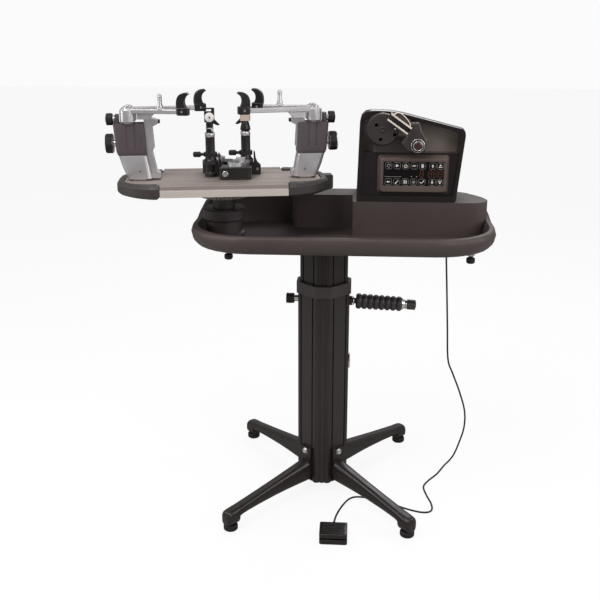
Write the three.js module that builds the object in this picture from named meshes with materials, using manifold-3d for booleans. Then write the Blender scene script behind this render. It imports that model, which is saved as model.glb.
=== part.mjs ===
// Racket stringing machine on a height-adjustable stand.
// Millimetres, +Z up, +X to the operator's right, the operator stands at -Y.
// The origin is on the floor under the column's axis.
import * as THREE from "three";
import { mergeVertices } from "three/addons/utils/BufferGeometryUtils.js";
import Module from "manifold-3d";

const wasm = await Module();
wasm.setup();

// Clearances and fineness
const GAP = 0.3; // between pieces that touch
const RUN_GAP = 0.6; // between pieces that slide or turn in each other
const OVERRUN = 8; // how far a cutter runs past the face that it cuts
const MERGE = 0.001; // vertices closer than this are one
const ROUND_STEPS = 20; // sides of a large round
const SMALL_STEPS = 12; // sides of a small round
const CORNER_STEPS = 3; // chords in a small rounded corner

// Column
const COLUMN_HALF = 69; // from the axis to a flat
const COLUMN_FLAT_HALF = 19; // half the width of a flat
const COLUMN_WALL = 5;
const COLUMN_BOTTOM = 32;
const COLUMN_TOP = 604;
const NOTCH_WIDTH = 5;
const NOTCH_DEPTH = 2.2;
const NOTCH_INSET = 10; // from a corner of the section
const COLLAR_WALL = 4;
const COLLAR_SKIRT = 24; // below the column's top edge
const COLLAR_LIP = 8; // above the column's top edge
const INNER_WALL = 5;
const INNER_INSERT = 350; // length that stays inside the outer column at rest
const INNER_FLANGE = 6;
const FLANGE_HALF_X = 120;
const FLANGE_HALF_Y = 85;

// Foot star
const FOOT_X = 231; // from the column's axis to a foot
const FOOT_Y = 263;
const FOOT_RADIUS = 19;
const FOOT_HEIGHT = 16;
const FOOT_CHAMFER = 3;
const LEG_ROOT_HIGH = 100; // top of the leg at the column
const LEG_ROOT_LOW = 34;
const LEG_ROOT_WIDTH = 44;
const LEG_WAIST_WIDTH = 33;
const LEG_TIP_WIDTH = 38;
const LEG_TIP_HIGH = 62;
const LEG_ARCH_LOW = 33; // underside just before the foot
const LEG_CORNER = 9;
const LEG_FLANGE_HIGH = 136;
const LEG_FLANGE_WIDTH = 40;
const LEG_FLANGE_THICK = 9;

// Height lock
const LOCK_DROP = 46; // below the column's top edge
const HANDLE_DROOP = 3; // degrees
const BOSS_RADIUS = 13;
const BOSS_LENGTH = 8;
const GRIP_START = 9; // from the boss to the first rib
const GRIP_RIBS = 8;
const GRIP_PITCH = 15.5;
const GRIP_RADIUS = 21.5;
const GRIP_ROOT = 17.5; // radius between the ribs
const GRIP_TAPER = 1.5; // radius lost towards the end
const STEM_RADIUS = 8;
const STEM_LENGTH = 14;
const END_KNOB_RADIUS = 14;
const END_KNOB_LENGTH = 22;
const PLUNGER_RADIUS = 13.5;
const PLUNGER_LENGTH = 22;
const PLUNGER_COLLAR_RADIUS = 9;
const PLUNGER_COLLAR_LENGTH = 11;
const CLIP_DROP = 224; // below the column's top edge
const CLIP_LENGTH = 40;
const CLIP_WIDTH = 12;
const CLIP_THICK = 4;

// Tray
const TRAY_LIFT = 120; // the tray's underside over the outer column's top, at rest
const TRAY_WALL = 51; // height of the front rim over the underside
const TRAY_BACK_RISE = 51; // the back and the shelf stand this much over the front rim
const TRAY_LEFT = -345; // its left side
const TRAY_HALF_X = 392;
const TRAY_CENTER_X = TRAY_LEFT + TRAY_HALF_X;
const TRAY_CENTER_Y = -10;
const TRAY_HALF_Y = 195;
const TRAY_CORNER = 165;
const TRAY_FLOOR = 10; // thickness
const TRAY_CORNER_STEPS = 8;
const RISE_START_Y = 12;
const RISE_END_Y = 125;
const LEDGE_X = 72; // left end of the console's shelf
const LEDGE_Y = -4; // its front face
const LEDGE_INSET = 12; // shelf inside the tray's outline
const LEDGE_CORNER = 60;
const BACK_SHELF_X = -95;
const BACK_SHELF_Y = 85;
const BACK_SHELF_CORNER = 20;
const TRAY_FOOT_RADIUS = 11;
const TRAY_FOOT_HEIGHT = 28;
const TRAY_FOOT_SHIFT = 18;
const TRAY_FOOT_X = TRAY_CENTER_X + TRAY_FOOT_SHIFT; // the middle between the feet
const TRAY_FOOT_INSET = 87; // from the tray's half width
const TRAY_FOOT_SPREAD_X = TRAY_HALF_X - TRAY_FOOT_INSET;
const TRAY_FOOT_SPREAD_Y = 104;
const GLAND_INSET = 105; // from the tray's right side
const GLAND_X = TRAY_CENTER_X + TRAY_HALF_X - GLAND_INSET;
const GLAND_Y = 125;
const GLAND_RADIUS = 8;
const GLAND_LENGTH = 12;

// Turntable axis
const SPIN_X = -262;
const SPIN_Y = -22;
const TURN = 9.7; // degrees that the table is turned at rest

// Pedestal and brake ring
const PEDESTAL_FOOT_RADIUS = 53;
const PEDESTAL_FOOT_HEIGHT = 12;
const PEDESTAL_WAIST_RADIUS = 47;
const PEDESTAL_DISC_RADIUS = 56;
const PEDESTAL_DISC_DROP = 30; // the disc's top below the brake ring
const PEDESTAL_DISC_THICK = 31;
const PEDESTAL_EDGE = 4;
const PEDESTAL_NECK_RADIUS = 29;
const RING_THICK = 22;
const RING_RADIUS = 64;
const RING_TEETH = 40;
const TOOTH_DEPTH = 2.6;
const TOOTH_FLAT_SHARE = 0.28; // of the pitch, at the tip and at the root

// Turntable deck
const DECK_RISE = 168; // the deck's top over the tray's underside
const DECK_THICK = 28;
const DECK_HALF_X = 157;
const DECK_HALF_Y = 134;
const DECK_PLATE = 9;
const DECK_SIDE = 7;
const DECK_STEP = 2.5; // the front band stands proud of the upper lip
const DECK_BAND = 17; // height of the band
const TONGUE_REACH = 93; // past the rail's end
const TONGUE_HALF_X = DECK_HALF_X + TONGUE_REACH;
const TONGUE_HALF_Y = 92;
const TONGUE_CORNER = 62;
const SLOT_WIDTH = 6;
const SLOT_DEPTH = 4;
const SLOT_SHARES = [-0.78, -0.34, 0.34, 0.78]; // of the deck's half width
const CAP_REACH = 111; // past the rail's end
const CAP_TIP_X = DECK_HALF_X + CAP_REACH;
const CAP_DROP = 5; // below the deck's underside
const CAP_BEVEL = 7;
const CAP_NOSE_HALF_Y = 52;
const CAP_SHOULDER_REACH = 65;
const CAP_SHOULDER_X = DECK_HALF_X + CAP_SHOULDER_REACH;
const CAP_SHOULDER_HALF_Y = 111;
const CAP_STEPS = 4;
const LUG_REACH = 20;
const LUG_WIDTH = 34;
const LUG_Y = 12;
const LUG_DROP = 12;

// Frame towers, in the tower's own frame: +X points to the turntable's middle
const TOWER_OUT = 50; // past the rail's end
const TOWER_X = DECK_HALF_X + TOWER_OUT;
const BASE_HEIGHT = 60;
const BASE_OUT = 34; // outer side of the foot
const BASE_IN = 29;
const BASE_HALF_Y = 25;
const BASE_TOP_OUT = 58;
const BASE_TOP_IN = 17;
const BASE_WAIST_SHARE = 0.8; // of the foot's inner reach, at half height
const BASE_TOP_INSET = 2; // the casting's top inside the housing's outline
const BASE_CORNER = 14;
const SHOE_OUT = 20; // the shoe under the tower that stands on the deck's tongue
const SHOE_IN = 11;
const SHOE_HALF_Y = 18;
const HOUSING_HEIGHT = 78;
const HOUSING_HALF_Y = 30;
const HOUSING_TOP_OUT = 63;
const HOUSING_TOP_IN = 14;
const HOUSING_CORNER = 9;
const FLUTE_WIDTH = 9;
const FLUTE_DEPTH = 3;
const FLUTE_SHARES = [0.36, 0.62]; // of the housing's length, from its outer side
const STRIP_THICK = 20;
const STRIP_HALF_Y = 15;
const STRIP_LIP = 15; // the lip at the top reaches inwards this far
const STRIP_LIP_HEIGHT = 13;
const STRIP_RISE = 12; // above the housing
const STRIP_BITE = 17; // depth of the relief in the lower front
const STRIP_TRAVEL = 6;
const LEFT_STRIP_SEAT = 2; // how deep each support sits in its slot at rest
const RIGHT_STRIP_SEAT = 17;
const BIG_KNOB_RADIUS = 25;
const BIG_KNOB_LENGTH = 20;
const BIG_KNOB_HEIGHT = 88; // above the deck
const SMALL_KNOB_RADIUS = 15.5;
const SMALL_KNOB_LENGTH = 17;
const SMALL_KNOB_HEIGHT = 148;
const BRACKET_TOP = 160; // of the small knob's bracket, above the deck
const BRACKET_HALF = 12;
const BRACKET_THICK = 9;
const KNOB_NECK = 5;
const KNOB_NECK_RADIUS = 9;
const BIG_KNOB_LOBES = 10;
const SMALL_KNOB_LOBES = 8;
const LOBE_SHARE = 0.1; // of the knob's radius
const KNOB_LOBE_STEPS = 3;

// Swing arms and shoulder hooks
const HUB_X = -26;
const HUB_Y = 20.5;
const HUB_RADIUS = 19;
const HUB_HEIGHT = 37;
const SHORT_REACH = 128;
const LONG_REACH = 166;
const SHORT_SPLAY = 15; // degrees
const LONG_SPLAY = 9;
const ARM_ROOT_HALF = 13;
const ARM_TIP_HALF = 8;
const ARM_THICK = 11;
const GUSSET_START = 26; // from the hub's axis
const GUSSET_END = 74;
const GUSSET_DROP = 20;
const GUSSET_HALF = 4;
const PEG_REACH = 85;
const PEG_HEIGHT = 38;
const PEG_RADIUS = 7.5;
const PEG_TIP_RADIUS = 5.5;
const PEG_STEPS = 10;
const HOOK_BLOCK_LENGTH = 30;
const HOOK_BLOCK_HEIGHT = 19;
const HOOK_BLOCK_WIDTH = 24;
const HOOK_BLOCK_DROP = 3; // below the arm's underside
const CLAW_HEIGHT = 36;
const CLAW_WIDTH = 13;
const CLAW_STEPS = 5;

// String clamps, in the clamp's own frame: the pivot of its base is the origin
const CLAMP_BLOCK_X = 82;
const CLAMP_BLOCK_Y = 48;
const CLAMP_BLOCK_HEIGHT = 32;
const CLAMP_BLOCK_CORNER = 10;
const ARM_LINK = 66; // from the base's pivot to the post
const LINK_RADIUS = 19;
const LINK_THICK = 9;
const POST_RADIUS = 12;
const POST_HEIGHT = 100;
const POST_FOOT_RADIUS = 16;
const POST_FOOT_HEIGHT = 9;
const POST_COLLAR_RADIUS = 17; // over the link
const FIN_REACH = 38;
const FIN_THICK = 16;
const FIN_TOP = 60;
const ROD_HEIGHT = 57; // of the locking rod, above the deck
const ROD_RADIUS = 4;
const ROD_REACH = 24;
const ROD_GRIP_RADIUS = 6.5;
const ROD_GRIP_LENGTH = 19;
const ROD_RING_HEIGHT = 11;
const ROD_RING_WALL = 4.5;
const HEAD_RING_HEIGHT = 12;
const HEAD_NECK_RADIUS = 9;
const HEAD_NECK_HEIGHT = 26;
const HEAD_HALF_X = 13;
const HEAD_HALF_Y = 11;
const HEAD_HEIGHT = 26;
const JAW_HEIGHT = 9;
const JAW_THICK = 4;
const JAW_LENGTH = 30;
const JAW_SPLIT = 2.4;
const DIAL_RADIUS = 13;
const DIAL_THICK = 5;
const LEVER_REACH = 20;
const LEVER_DROP = 9;
const LEVER_THICK = 6;
const LEFT_CLAMP_X = -12; // the base's pivot from the turntable's axis
const LEFT_CLAMP_Y = 64;
const LEFT_CLAMP_AIM = 163; // degrees, from the base to the post
const RIGHT_CLAMP_X = 30;
const RIGHT_CLAMP_Y = -36;
const RIGHT_CLAMP_AIM = -27;
const CLAMPS = [
  { side: "left", x: LEFT_CLAMP_X, y: LEFT_CLAMP_Y, aim: LEFT_CLAMP_AIM, facing: 0 },
  { side: "right", x: RIGHT_CLAMP_X, y: RIGHT_CLAMP_Y, aim: RIGHT_CLAMP_AIM, facing: 180 },
];

// Console, heights from its underside
const CONSOLE_LEFT = 82;
const CONSOLE_RIGHT = 338;
const CONSOLE_DEPTH = 178;
const CONSOLE_LEAN_LEFT = 6; // the left side leans in by this much at the top
const CONSOLE_LEAN_RIGHT = 18; // the right side leans out
const CONSOLE_TOP = 235;
const CONSOLE_SHOULDER_X = 168; // where the top edge starts to fall
const CONSOLE_RIGHT_TOP = 188;
const CONSOLE_CORNER = 16;
const CONSOLE_SIDE = {
  // shares of the depth from the front, and of the height, from the back to the front
  depthShares: [1, 0.966, 0.916, 0.82, 0.708, 0.07, 0],
  heightShares: [0.34, 0.53, 0.7, 0.86, 0.919, 1, 0.985],
};
const FACE_LOW = 16; // the face inside the front rim starts here
const FACE_DEPTH = 9;
const RECESS_LOW = 127;
const RECESS_RIM = 10;
const RECESS_DEPTH = 62;
const BEZEL_LEFT = 134;
const BEZEL_RIGHT = 318;
const BEZEL_LOW = 20;
const BEZEL_HIGH = 122;
const BEZEL_PROUD = 9; // before the console's front rim
const BEZEL_SLOPE = 8;
const BEZEL_CORNER = 9;
const PANEL_LEFT = 150;
const PANEL_RIGHT = 303;
const PANEL_LOW = 44;
const PANEL_HIGH = 105;
const PANEL_THICK = 3;

// Tension head, heights from the console's underside
const DRUM_X = 144;
const DRUM_Z = 188;
const DRUM_RADIUS = 41;
const DRUM_THICK = 18;
const DRUM_FRONT = 25; // before the console's face
const DRUM_SHAFT_RADIUS = 9;
const DRUM_HOLE_RADIUS = 4.5;
const DRUM_HOLE_REACHES = [19, 33, 25.4];
const DRUM_HOLE_TURNS = [-56, 113, 190]; // degrees
const CARRIAGE_LEFT = 122;
const CARRIAGE_RIGHT = 254;
const CARRIAGE_HIGH = 162;
const CARRIAGE_TRAVEL = 80;
const NOSE_DEPTH = 42;
const NOSE_X = 223;
const NOSE_Z = 156;
const NOSE_TOP = 206;
const NOSE_HALF_TOP = 16;
const NOSE_HALF = 34;
const NOSE_LOW = 134;
const BUTTON_X = 232;
const BUTTON_Z = 151;
const BUTTON_RADIUS = 17;
const BUTTON_THICK = 6;
const GRIPPER_X = 184;
const GRIPPER_Z = 206;
const GRIPPER_TILT = 35; // degrees
const GRIPPER_LENGTH = 62;
const GRIPPER_PLATE = 5;
const GRIPPER_SPLIT = 11;
const GRIPPER_BACK = 5;
const GRIPPER_DEPTH = 34;

// Foot pedal and its lead
const PEDAL_X = 40;
const PEDAL_Y = -288;
const PEDAL_HALF_X = 36;
const PEDAL_HALF_Y = 31;
const PEDAL_BASE_HEIGHT = 17;
const PEDAL_LIP = 5; // the base's rear block
const PEDAL_TREAD_HEIGHT = 13;
const PEDAL_GAP = 3.5; // room for the tread's travel at the front
const PEDAL_CORNER = 6;
const PEDAL_REAR = 14;
const PEDAL_GLAND_RADIUS = 5;
const PEDAL_GLAND_LENGTH = 9;
const CORD_RADIUS = 2.5;
const CORD_SIDES = 8;
const CORD_STEPS = 60;

const DEG = THREE.MathUtils.DEG2RAD;
const FULL = 360 * DEG;
const V2 = (x, y) => new THREE.Vector2(x, y);
const V3 = (x, y, z) => new THREE.Vector3(x, y, z);

// Materials
function paint(color, roughness, metalness = 0) {
  return () => new THREE.MeshStandardMaterial({ color, roughness, metalness });
}
const blackAluminium = paint("#26211f", 0.45, 0.5);
const blackCasting = paint("#241d1b", 0.5, 0.3);
const blackPlastic = paint("#1b1817", 0.55);
const glossBlack = paint("#0e0c0c", 0.15);
const trayPlastic = paint("#383030", 0.6);
const greyPlastic = paint("#4a4344", 0.55);
const silver = paint("#a9a6a4", 0.3, 0.9);
const deckAluminium = paint("#8d8381", 0.35, 0.8);
const rubber = paint("#141212", 0.8);

// Geometry helpers

// One indexed mesh with shared vertices and no empty triangles.
function tidy(geometry) {
  const bare = geometry.clone();
  bare.deleteAttribute("normal");
  bare.deleteAttribute("uv");
  const merged = mergeVertices(bare, MERGE);
  const index = merged.index.array;
  const kept = [];
  for (let i = 0; i < index.length; i += 3) {
    const [a, b, c] = [index[i], index[i + 1], index[i + 2]];
    if (a !== b && b !== c && c !== a) kept.push(a, b, c);
  }
  merged.setIndex(kept);
  return merged;
}

function toSolid(geometry) {
  const clean = tidy(geometry);
  const vertProperties = Float32Array.from(clean.attributes.position.array);
  const triVerts = Uint32Array.from(clean.index.array);
  return new wasm.Manifold(new wasm.Mesh({ numProp: 3, vertProperties, triVerts }));
}

function toGeometry(solid) {
  const mesh = solid.getMesh();
  const geometry = new THREE.BufferGeometry();
  geometry.setAttribute("position", new THREE.BufferAttribute(mesh.vertProperties, 3));
  geometry.setIndex(new THREE.BufferAttribute(mesh.triVerts, 1));
  return geometry;
}

function join(first, ...others) {
  return toGeometry(others.reduce((solid, other) => solid.add(toSolid(other)), toSolid(first)));
}

function cut(first, ...others) {
  return toGeometry(others.reduce((solid, other) => solid.subtract(toSolid(other)), toSolid(first)));
}

function common(first, second) {
  return toGeometry(toSolid(first).intersect(toSolid(second)));
}

function extrude(outline, depth, bevel = 0, steps = 1) {
  const shape = outline instanceof THREE.Shape ? outline : new THREE.Shape(outline);
  const geometry = new THREE.ExtrudeGeometry(shape, {
    depth: depth - 2 * bevel,
    bevelEnabled: bevel > 0,
    bevelThickness: bevel,
    bevelSize: bevel,
    bevelOffset: -bevel,
    bevelSegments: steps,
    curveSegments: CORNER_STEPS,
  });
  return geometry.translate(0, 0, bevel);
}

// An outline in X and Y, raised from z low to z high.
function prism(outline, low, high, bevel = 0, steps = 1) {
  return extrude(outline, high - low, bevel, steps).translate(0, 0, low);
}

// An outline in X and Z, from y near to y far.
function frontPlate(outline, near, far, bevel = 0, steps = 1) {
  const basis = new THREE.Matrix4().makeBasis(V3(1, 0, 0), V3(0, 0, 1), V3(0, -1, 0));
  return extrude(outline, far - near, bevel, steps).applyMatrix4(basis).translate(0, far, 0);
}

// An outline in Y and Z, from x left to x right.
function sidePlate(outline, left, right, bevel = 0, steps = 1) {
  const basis = new THREE.Matrix4().makeBasis(V3(0, 1, 0), V3(0, 0, 1), V3(1, 0, 0));
  return extrude(outline, right - left, bevel, steps).applyMatrix4(basis).translate(left, 0, 0);
}

// A profile of [radius, height] pairs turned about Z, from the lowest point up.
function turned(profile, steps = SMALL_STEPS) {
  const points = profile.map(([radius, height]) => V2(radius, height));
  return tidy(new THREE.LatheGeometry(points, steps).rotateX(90 * DEG));
}

function disc(radius, low, high, steps = SMALL_STEPS) {
  return turned([[0, low], [radius, low], [radius, high], [0, high]], steps);
}

// A cylinder's axis turned from Z to X, or to Y.
const alongX = (geometry) => geometry.rotateY(90 * DEG);
const alongY = (geometry) => geometry.rotateX(-90 * DEG);

function box(x0, x1, y0, y1, z0, z1) {
  return prism([V2(x0, y0), V2(x1, y0), V2(x1, y1), V2(x0, y1)], z0, z1);
}

// Points of a polygon whose corners are rounded; points are [x, y, radius].
function rounded(points, steps = CORNER_STEPS) {
  const outline = [];
  points.forEach(([x, y, radius = 0], i) => {
    const corner = V2(x, y);
    if (radius === 0) {
      outline.push(corner);
      return;
    }
    const [px, py] = points[(i + points.length - 1) % points.length];
    const [nx, ny] = points[(i + 1) % points.length];
    const start = V2(px, py).sub(corner).setLength(radius).add(corner);
    const end = V2(nx, ny).sub(corner).setLength(radius).add(corner);
    outline.push(...new THREE.QuadraticBezierCurve(start, corner, end).getPoints(steps));
  });
  return outline;
}

// Points of a rectangle with round corners, counter-clockwise, the same count for any size.
function roundRect(halfX, halfY, radius, steps = CORNER_STEPS) {
  const outline = [];
  const signs = [[1, 1], [-1, 1], [-1, -1], [1, -1]];
  signs.forEach(([sx, sy], quarter) => {
    for (let i = 0; i <= steps; i += 1) {
      const angle = (quarter + i / steps) * 90 * DEG;
      const x = sx * (halfX - radius) + radius * Math.cos(angle);
      const y = sy * (halfY - radius) + radius * Math.sin(angle);
      outline.push(V2(x, y));
    }
  });
  return outline;
}

// A closed body through rings of points; every ring has the same count.
function loft(rings) {
  const count = rings[0].length;
  const positions = rings.flat().flatMap((point) => [point.x, point.y, point.z]);
  const index = [];
  for (let ring = 0; ring + 1 < rings.length; ring += 1) {
    for (let i = 0; i < count; i += 1) {
      const a = ring * count + i;
      const b = ring * count + ((i + 1) % count);
      index.push(a, b, b + count, a, b + count, a + count);
    }
  }
  const last = (rings.length - 1) * count;
  for (let i = 1; i + 1 < count; i += 1) {
    index.push(0, i + 1, i, last, last + i, last + i + 1);
  }
  const geometry = new THREE.BufferGeometry();
  geometry.setAttribute("position", new THREE.Float32BufferAttribute(positions, 3));
  geometry.setIndex(index);
  return geometry;
}

// Scene helpers
const model = new THREE.Group();

function piece(parent, name, geometry, material) {
  const mesh = new THREE.Mesh(geometry, material());
  mesh.name = name;
  parent.add(mesh);
  return mesh;
}

function groupAt(parent, x, y, z, turn = 0) {
  const group = new THREE.Group();
  group.position.set(x, y, z);
  group.rotation.z = turn * DEG;
  parent.add(group);
  return group;
}

// Column sections

function octagon(half, flatHalf) {
  const quarter = [V2(half, -flatHalf), V2(half, flatHalf)];
  const turns = [0, 1, 2, 3];
  return turns.flatMap((turn) => quarter.map((p) => p.clone().rotateAround(V2(0, 0), turn * 90 * DEG)));
}

// The same octagon with all eight sides moved in.
function insetOctagon(half, flatHalf, inset) {
  return octagon(half - inset, flatHalf - inset * (Math.SQRT2 - 1));
}

// Narrow lengthwise notches near both ends of every side that is long enough.
function notched(outline, inset, width, depth) {
  return outline.flatMap((start, i) => {
    const end = outline[(i + 1) % outline.length];
    const along = end.clone().sub(start);
    const length = along.length();
    along.normalize();
    const inward = V2(-along.y, along.x).multiplyScalar(depth);
    const at = (s) => start.clone().addScaledVector(along, s);
    const notch = (s) => [at(s), at(s).add(inward), at(s + width).add(inward), at(s + width)];
    if (length < 2 * inset + 2 * width) return [start];
    return [start, ...notch(inset), ...notch(length - inset - width)];
  });
}

function tube(outer, inner, low, high) {
  const shape = new THREE.Shape(outer);
  shape.holes.push(new THREE.Path(inner));
  return prism(shape, low, high);
}

const LOCK_HEIGHT = COLUMN_TOP - LOCK_DROP;
const CLIP_HEIGHT = COLUMN_TOP - CLIP_DROP;
const COLLAR_BOTTOM = COLUMN_TOP - COLLAR_SKIRT;
const INNER_INSET = COLUMN_WALL + RUN_GAP; // from the outer column's face to the inner column's

function outerColumn() {
  const outline = notched(octagon(COLUMN_HALF, COLUMN_FLAT_HALF), NOTCH_INSET, NOTCH_WIDTH, NOTCH_DEPTH);
  const bore = insetOctagon(COLUMN_HALF, COLUMN_FLAT_HALF, COLUMN_WALL);
  const body = tube(outline, bore, COLUMN_BOTTOM, COLUMN_TOP);
  const bossLow = COLUMN_HALF - COLUMN_WALL / 2;
  const boss = alongX(disc(BOSS_RADIUS, bossLow, COLUMN_HALF + BOSS_LENGTH));
  boss.rotateY(HANDLE_DROOP * DEG).translate(0, 0, LOCK_HEIGHT);
  const clipTop = CLIP_HEIGHT + CLIP_LENGTH / 2;
  const clipLow = CLIP_HEIGHT - CLIP_LENGTH / 2;
  const clip = box(bossLow, COLUMN_HALF + CLIP_THICK, -CLIP_WIDTH / 2, CLIP_WIDTH / 2, clipLow, clipTop);
  return join(body, boss, clip);
}

function columnCollar() {
  const top = COLUMN_TOP + COLLAR_LIP;
  const shell = prism(insetOctagon(COLUMN_HALF, COLUMN_FLAT_HALF, -COLLAR_WALL), COLLAR_BOTTOM, top);
  const seat = insetOctagon(COLUMN_HALF, COLUMN_FLAT_HALF, -GAP);
  const mouth = insetOctagon(COLUMN_HALF, COLUMN_FLAT_HALF, COLUMN_WALL);
  return cut(
    shell,
    prism(seat, COLLAR_BOTTOM - OVERRUN, COLUMN_TOP + GAP),
    prism(mouth, COLLAR_BOTTOM - OVERRUN, top + OVERRUN),
  );
}

const TRAY_BOTTOM = COLUMN_TOP + TRAY_LIFT;
const TRAY_RIM = TRAY_BOTTOM + TRAY_WALL;

function innerColumn() {
  const face = insetOctagon(COLUMN_HALF, COLUMN_FLAT_HALF, INNER_INSET);
  const outline = notched(face, NOTCH_INSET, NOTCH_WIDTH, NOTCH_DEPTH);
  const bore = insetOctagon(COLUMN_HALF, COLUMN_FLAT_HALF, INNER_INSET + INNER_WALL);
  const top = TRAY_BOTTOM - GAP;
  const body = tube(outline, bore, COLUMN_TOP - INNER_INSERT, top - INNER_FLANGE / 2);
  const flange = box(-FLANGE_HALF_X, FLANGE_HALF_X, -FLANGE_HALF_Y, FLANGE_HALF_Y, top - INNER_FLANGE, top);
  return join(body, flange);
}

// Foot star

const CORNERS = [
  ["front_left", -1, -1],
  ["front_right", 1, -1],
  ["back_right", 1, 1],
  ["back_left", -1, 1],
];

function legRing(reach, halfWidth, low, high) {
  const halfHeight = (high - low) / 2;
  const radius = Math.min(LEG_CORNER, halfWidth / 2);
  const middle = (high + low) / 2;
  return roundRect(halfWidth, halfHeight, radius).map((p) => V3(reach, p.x, middle + p.y));
}

function leg() {
  const footReach = Math.hypot(FOOT_X, FOOT_Y);
  const pad = FOOT_HEIGHT + GAP;
  const padStart = footReach - FOOT_RADIUS * 1.25;
  const padEnd = footReach + FOOT_RADIUS * 0.7;
  const beam = loft([
    legRing(COLUMN_FLAT_HALF, LEG_ROOT_WIDTH / 2, LEG_ROOT_LOW, LEG_ROOT_HIGH + LEG_CORNER),
    legRing(COLUMN_HALF, LEG_ROOT_WIDTH / 2, LEG_ROOT_LOW, LEG_ROOT_HIGH),
    legRing(footReach * 0.55, LEG_WAIST_WIDTH / 2, LEG_ARCH_LOW + LEG_CORNER / 2, LEG_ROOT_HIGH * 0.8),
    legRing(padStart - LEG_CORNER, LEG_WAIST_WIDTH / 2, LEG_ARCH_LOW, LEG_TIP_HIGH + GAP),
    legRing(padStart, LEG_TIP_WIDTH / 2, pad, LEG_TIP_HIGH),
    legRing(padEnd, LEG_TIP_WIDTH / 2, pad, LEG_TIP_HIGH - LEG_CORNER / 2),
    legRing(footReach + FOOT_RADIUS, LEG_TIP_WIDTH / 3, pad, LEG_TIP_HIGH - 2 * LEG_CORNER),
  ]);
  const flangeEnd = (COLUMN_HALF + COLUMN_FLAT_HALF) / Math.SQRT2 + LEG_FLANGE_THICK;
  const flangeHalf = LEG_FLANGE_WIDTH / 2;
  const flange = box(0, flangeEnd, -flangeHalf, flangeHalf, LEG_ROOT_LOW + LEG_CORNER, LEG_FLANGE_HIGH);
  return join(beam, flange);
}

function levellingFoot() {
  return turned([
    [0, 0],
    [FOOT_RADIUS - FOOT_CHAMFER, 0],
    [FOOT_RADIUS, FOOT_CHAMFER],
    [FOOT_RADIUS, FOOT_HEIGHT - FOOT_CHAMFER],
    [FOOT_RADIUS - FOOT_CHAMFER, FOOT_HEIGHT],
    [0, FOOT_HEIGHT],
  ], ROUND_STEPS);
}

function buildStand() {
  piece(model, "outer_column", outerColumn(), blackAluminium);
  piece(model, "column_collar", columnCollar(), blackPlastic);
  piece(model, "inner_column", innerColumn(), blackAluminium);
  const seat = insetOctagon(COLUMN_HALF, COLUMN_FLAT_HALF, -GAP);
  const seatCutter = prism(seat, -OVERRUN, LEG_FLANGE_HIGH + OVERRUN);
  CORNERS.forEach(([corner, sx, sy]) => {
    const turn = Math.atan2(sy * FOOT_Y, sx * FOOT_X);
    piece(model, `leg_${corner}`, cut(leg().rotateZ(turn), seatCutter), blackCasting);
    piece(model, `foot_${corner}`, levellingFoot(), rubber).position.set(sx * FOOT_X, sy * FOOT_Y, 0);
  });
}

// Height lock

function lockHandle() {
  const profile = [[0, 0], [STEM_RADIUS, 0], [STEM_RADIUS, GRIP_START]];
  for (let rib = 0; rib < GRIP_RIBS; rib += 1) {
    const start = GRIP_START + rib * GRIP_PITCH;
    const lost = (GRIP_TAPER * rib) / GRIP_RIBS;
    profile.push([GRIP_ROOT - lost, start]);
    profile.push([GRIP_RADIUS - lost, start + GRIP_PITCH * 0.3]);
    profile.push([GRIP_RADIUS - lost, start + GRIP_PITCH * 0.7]);
  }
  const gripEnd = GRIP_START + GRIP_RIBS * GRIP_PITCH;
  const stemEnd = gripEnd + STEM_LENGTH;
  const knobEnd = stemEnd + END_KNOB_LENGTH;
  profile.push([GRIP_ROOT - GRIP_TAPER, gripEnd], [STEM_RADIUS, stemEnd]);
  profile.push([END_KNOB_RADIUS, stemEnd], [END_KNOB_RADIUS, knobEnd], [0, knobEnd]);
  return alongX(turned(profile, SMALL_STEPS));
}

function lockPlunger() {
  const knobStart = PLUNGER_COLLAR_LENGTH;
  const knobEnd = knobStart + PLUNGER_LENGTH;
  return alongX(turned([
    [0, 0],
    [PLUNGER_COLLAR_RADIUS, 0],
    [PLUNGER_COLLAR_RADIUS, knobStart],
    [PLUNGER_RADIUS, knobStart],
    [PLUNGER_RADIUS, knobEnd],
    [0, knobEnd],
  ]));
}

function buildHeightLock() {
  const handleFrame = groupAt(model, 0, 0, LOCK_HEIGHT);
  handleFrame.rotation.y = HANDLE_DROOP * DEG;
  const handle = piece(handleFrame, "lock_handle", lockHandle(), rubber);
  handle.position.x = COLUMN_HALF + BOSS_LENGTH + GAP;
  const plunger = piece(model, "lock_plunger", lockPlunger().rotateZ(180 * DEG), blackPlastic);
  plunger.position.set(-COLUMN_HALF - GAP, 0, LOCK_HEIGHT);
}

// Tray

// How far the rim stands above its front height at a given depth.
function rimRise(y) {
  return TRAY_BACK_RISE * THREE.MathUtils.smoothstep(y, RISE_START_Y, RISE_END_Y);
}

// One ring of the tray's wall; lift is the share of the rim's rise that it follows.
function trayRing(inset, z, lift) {
  const radius = TRAY_CORNER - inset;
  const outline = roundRect(TRAY_HALF_X - inset, TRAY_HALF_Y - inset, radius, TRAY_CORNER_STEPS);
  return outline.map((p) => {
    const y = TRAY_CENTER_Y + p.y;
    return V3(TRAY_CENTER_X + p.x, y, z + lift * rimRise(y));
  });
}

const TRAY_RINGS = {
  // shares of the wall's flare, and of the height from the bottom to the rim
  flare: 40,
  insetShares: [1, 0.35, 0.1, 0, 0.08, 0.22, 0.42, 0.52, 0.62, 0.72],
  heightShares: [0, 0.12, 0.34, 0.7, 0.92, 1, 1, 0.88, 0.4],
  liftShares: [0, 0, 0.25, 0.75, 1, 1, 1, 0.9, 0.35, 0],
};

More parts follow.
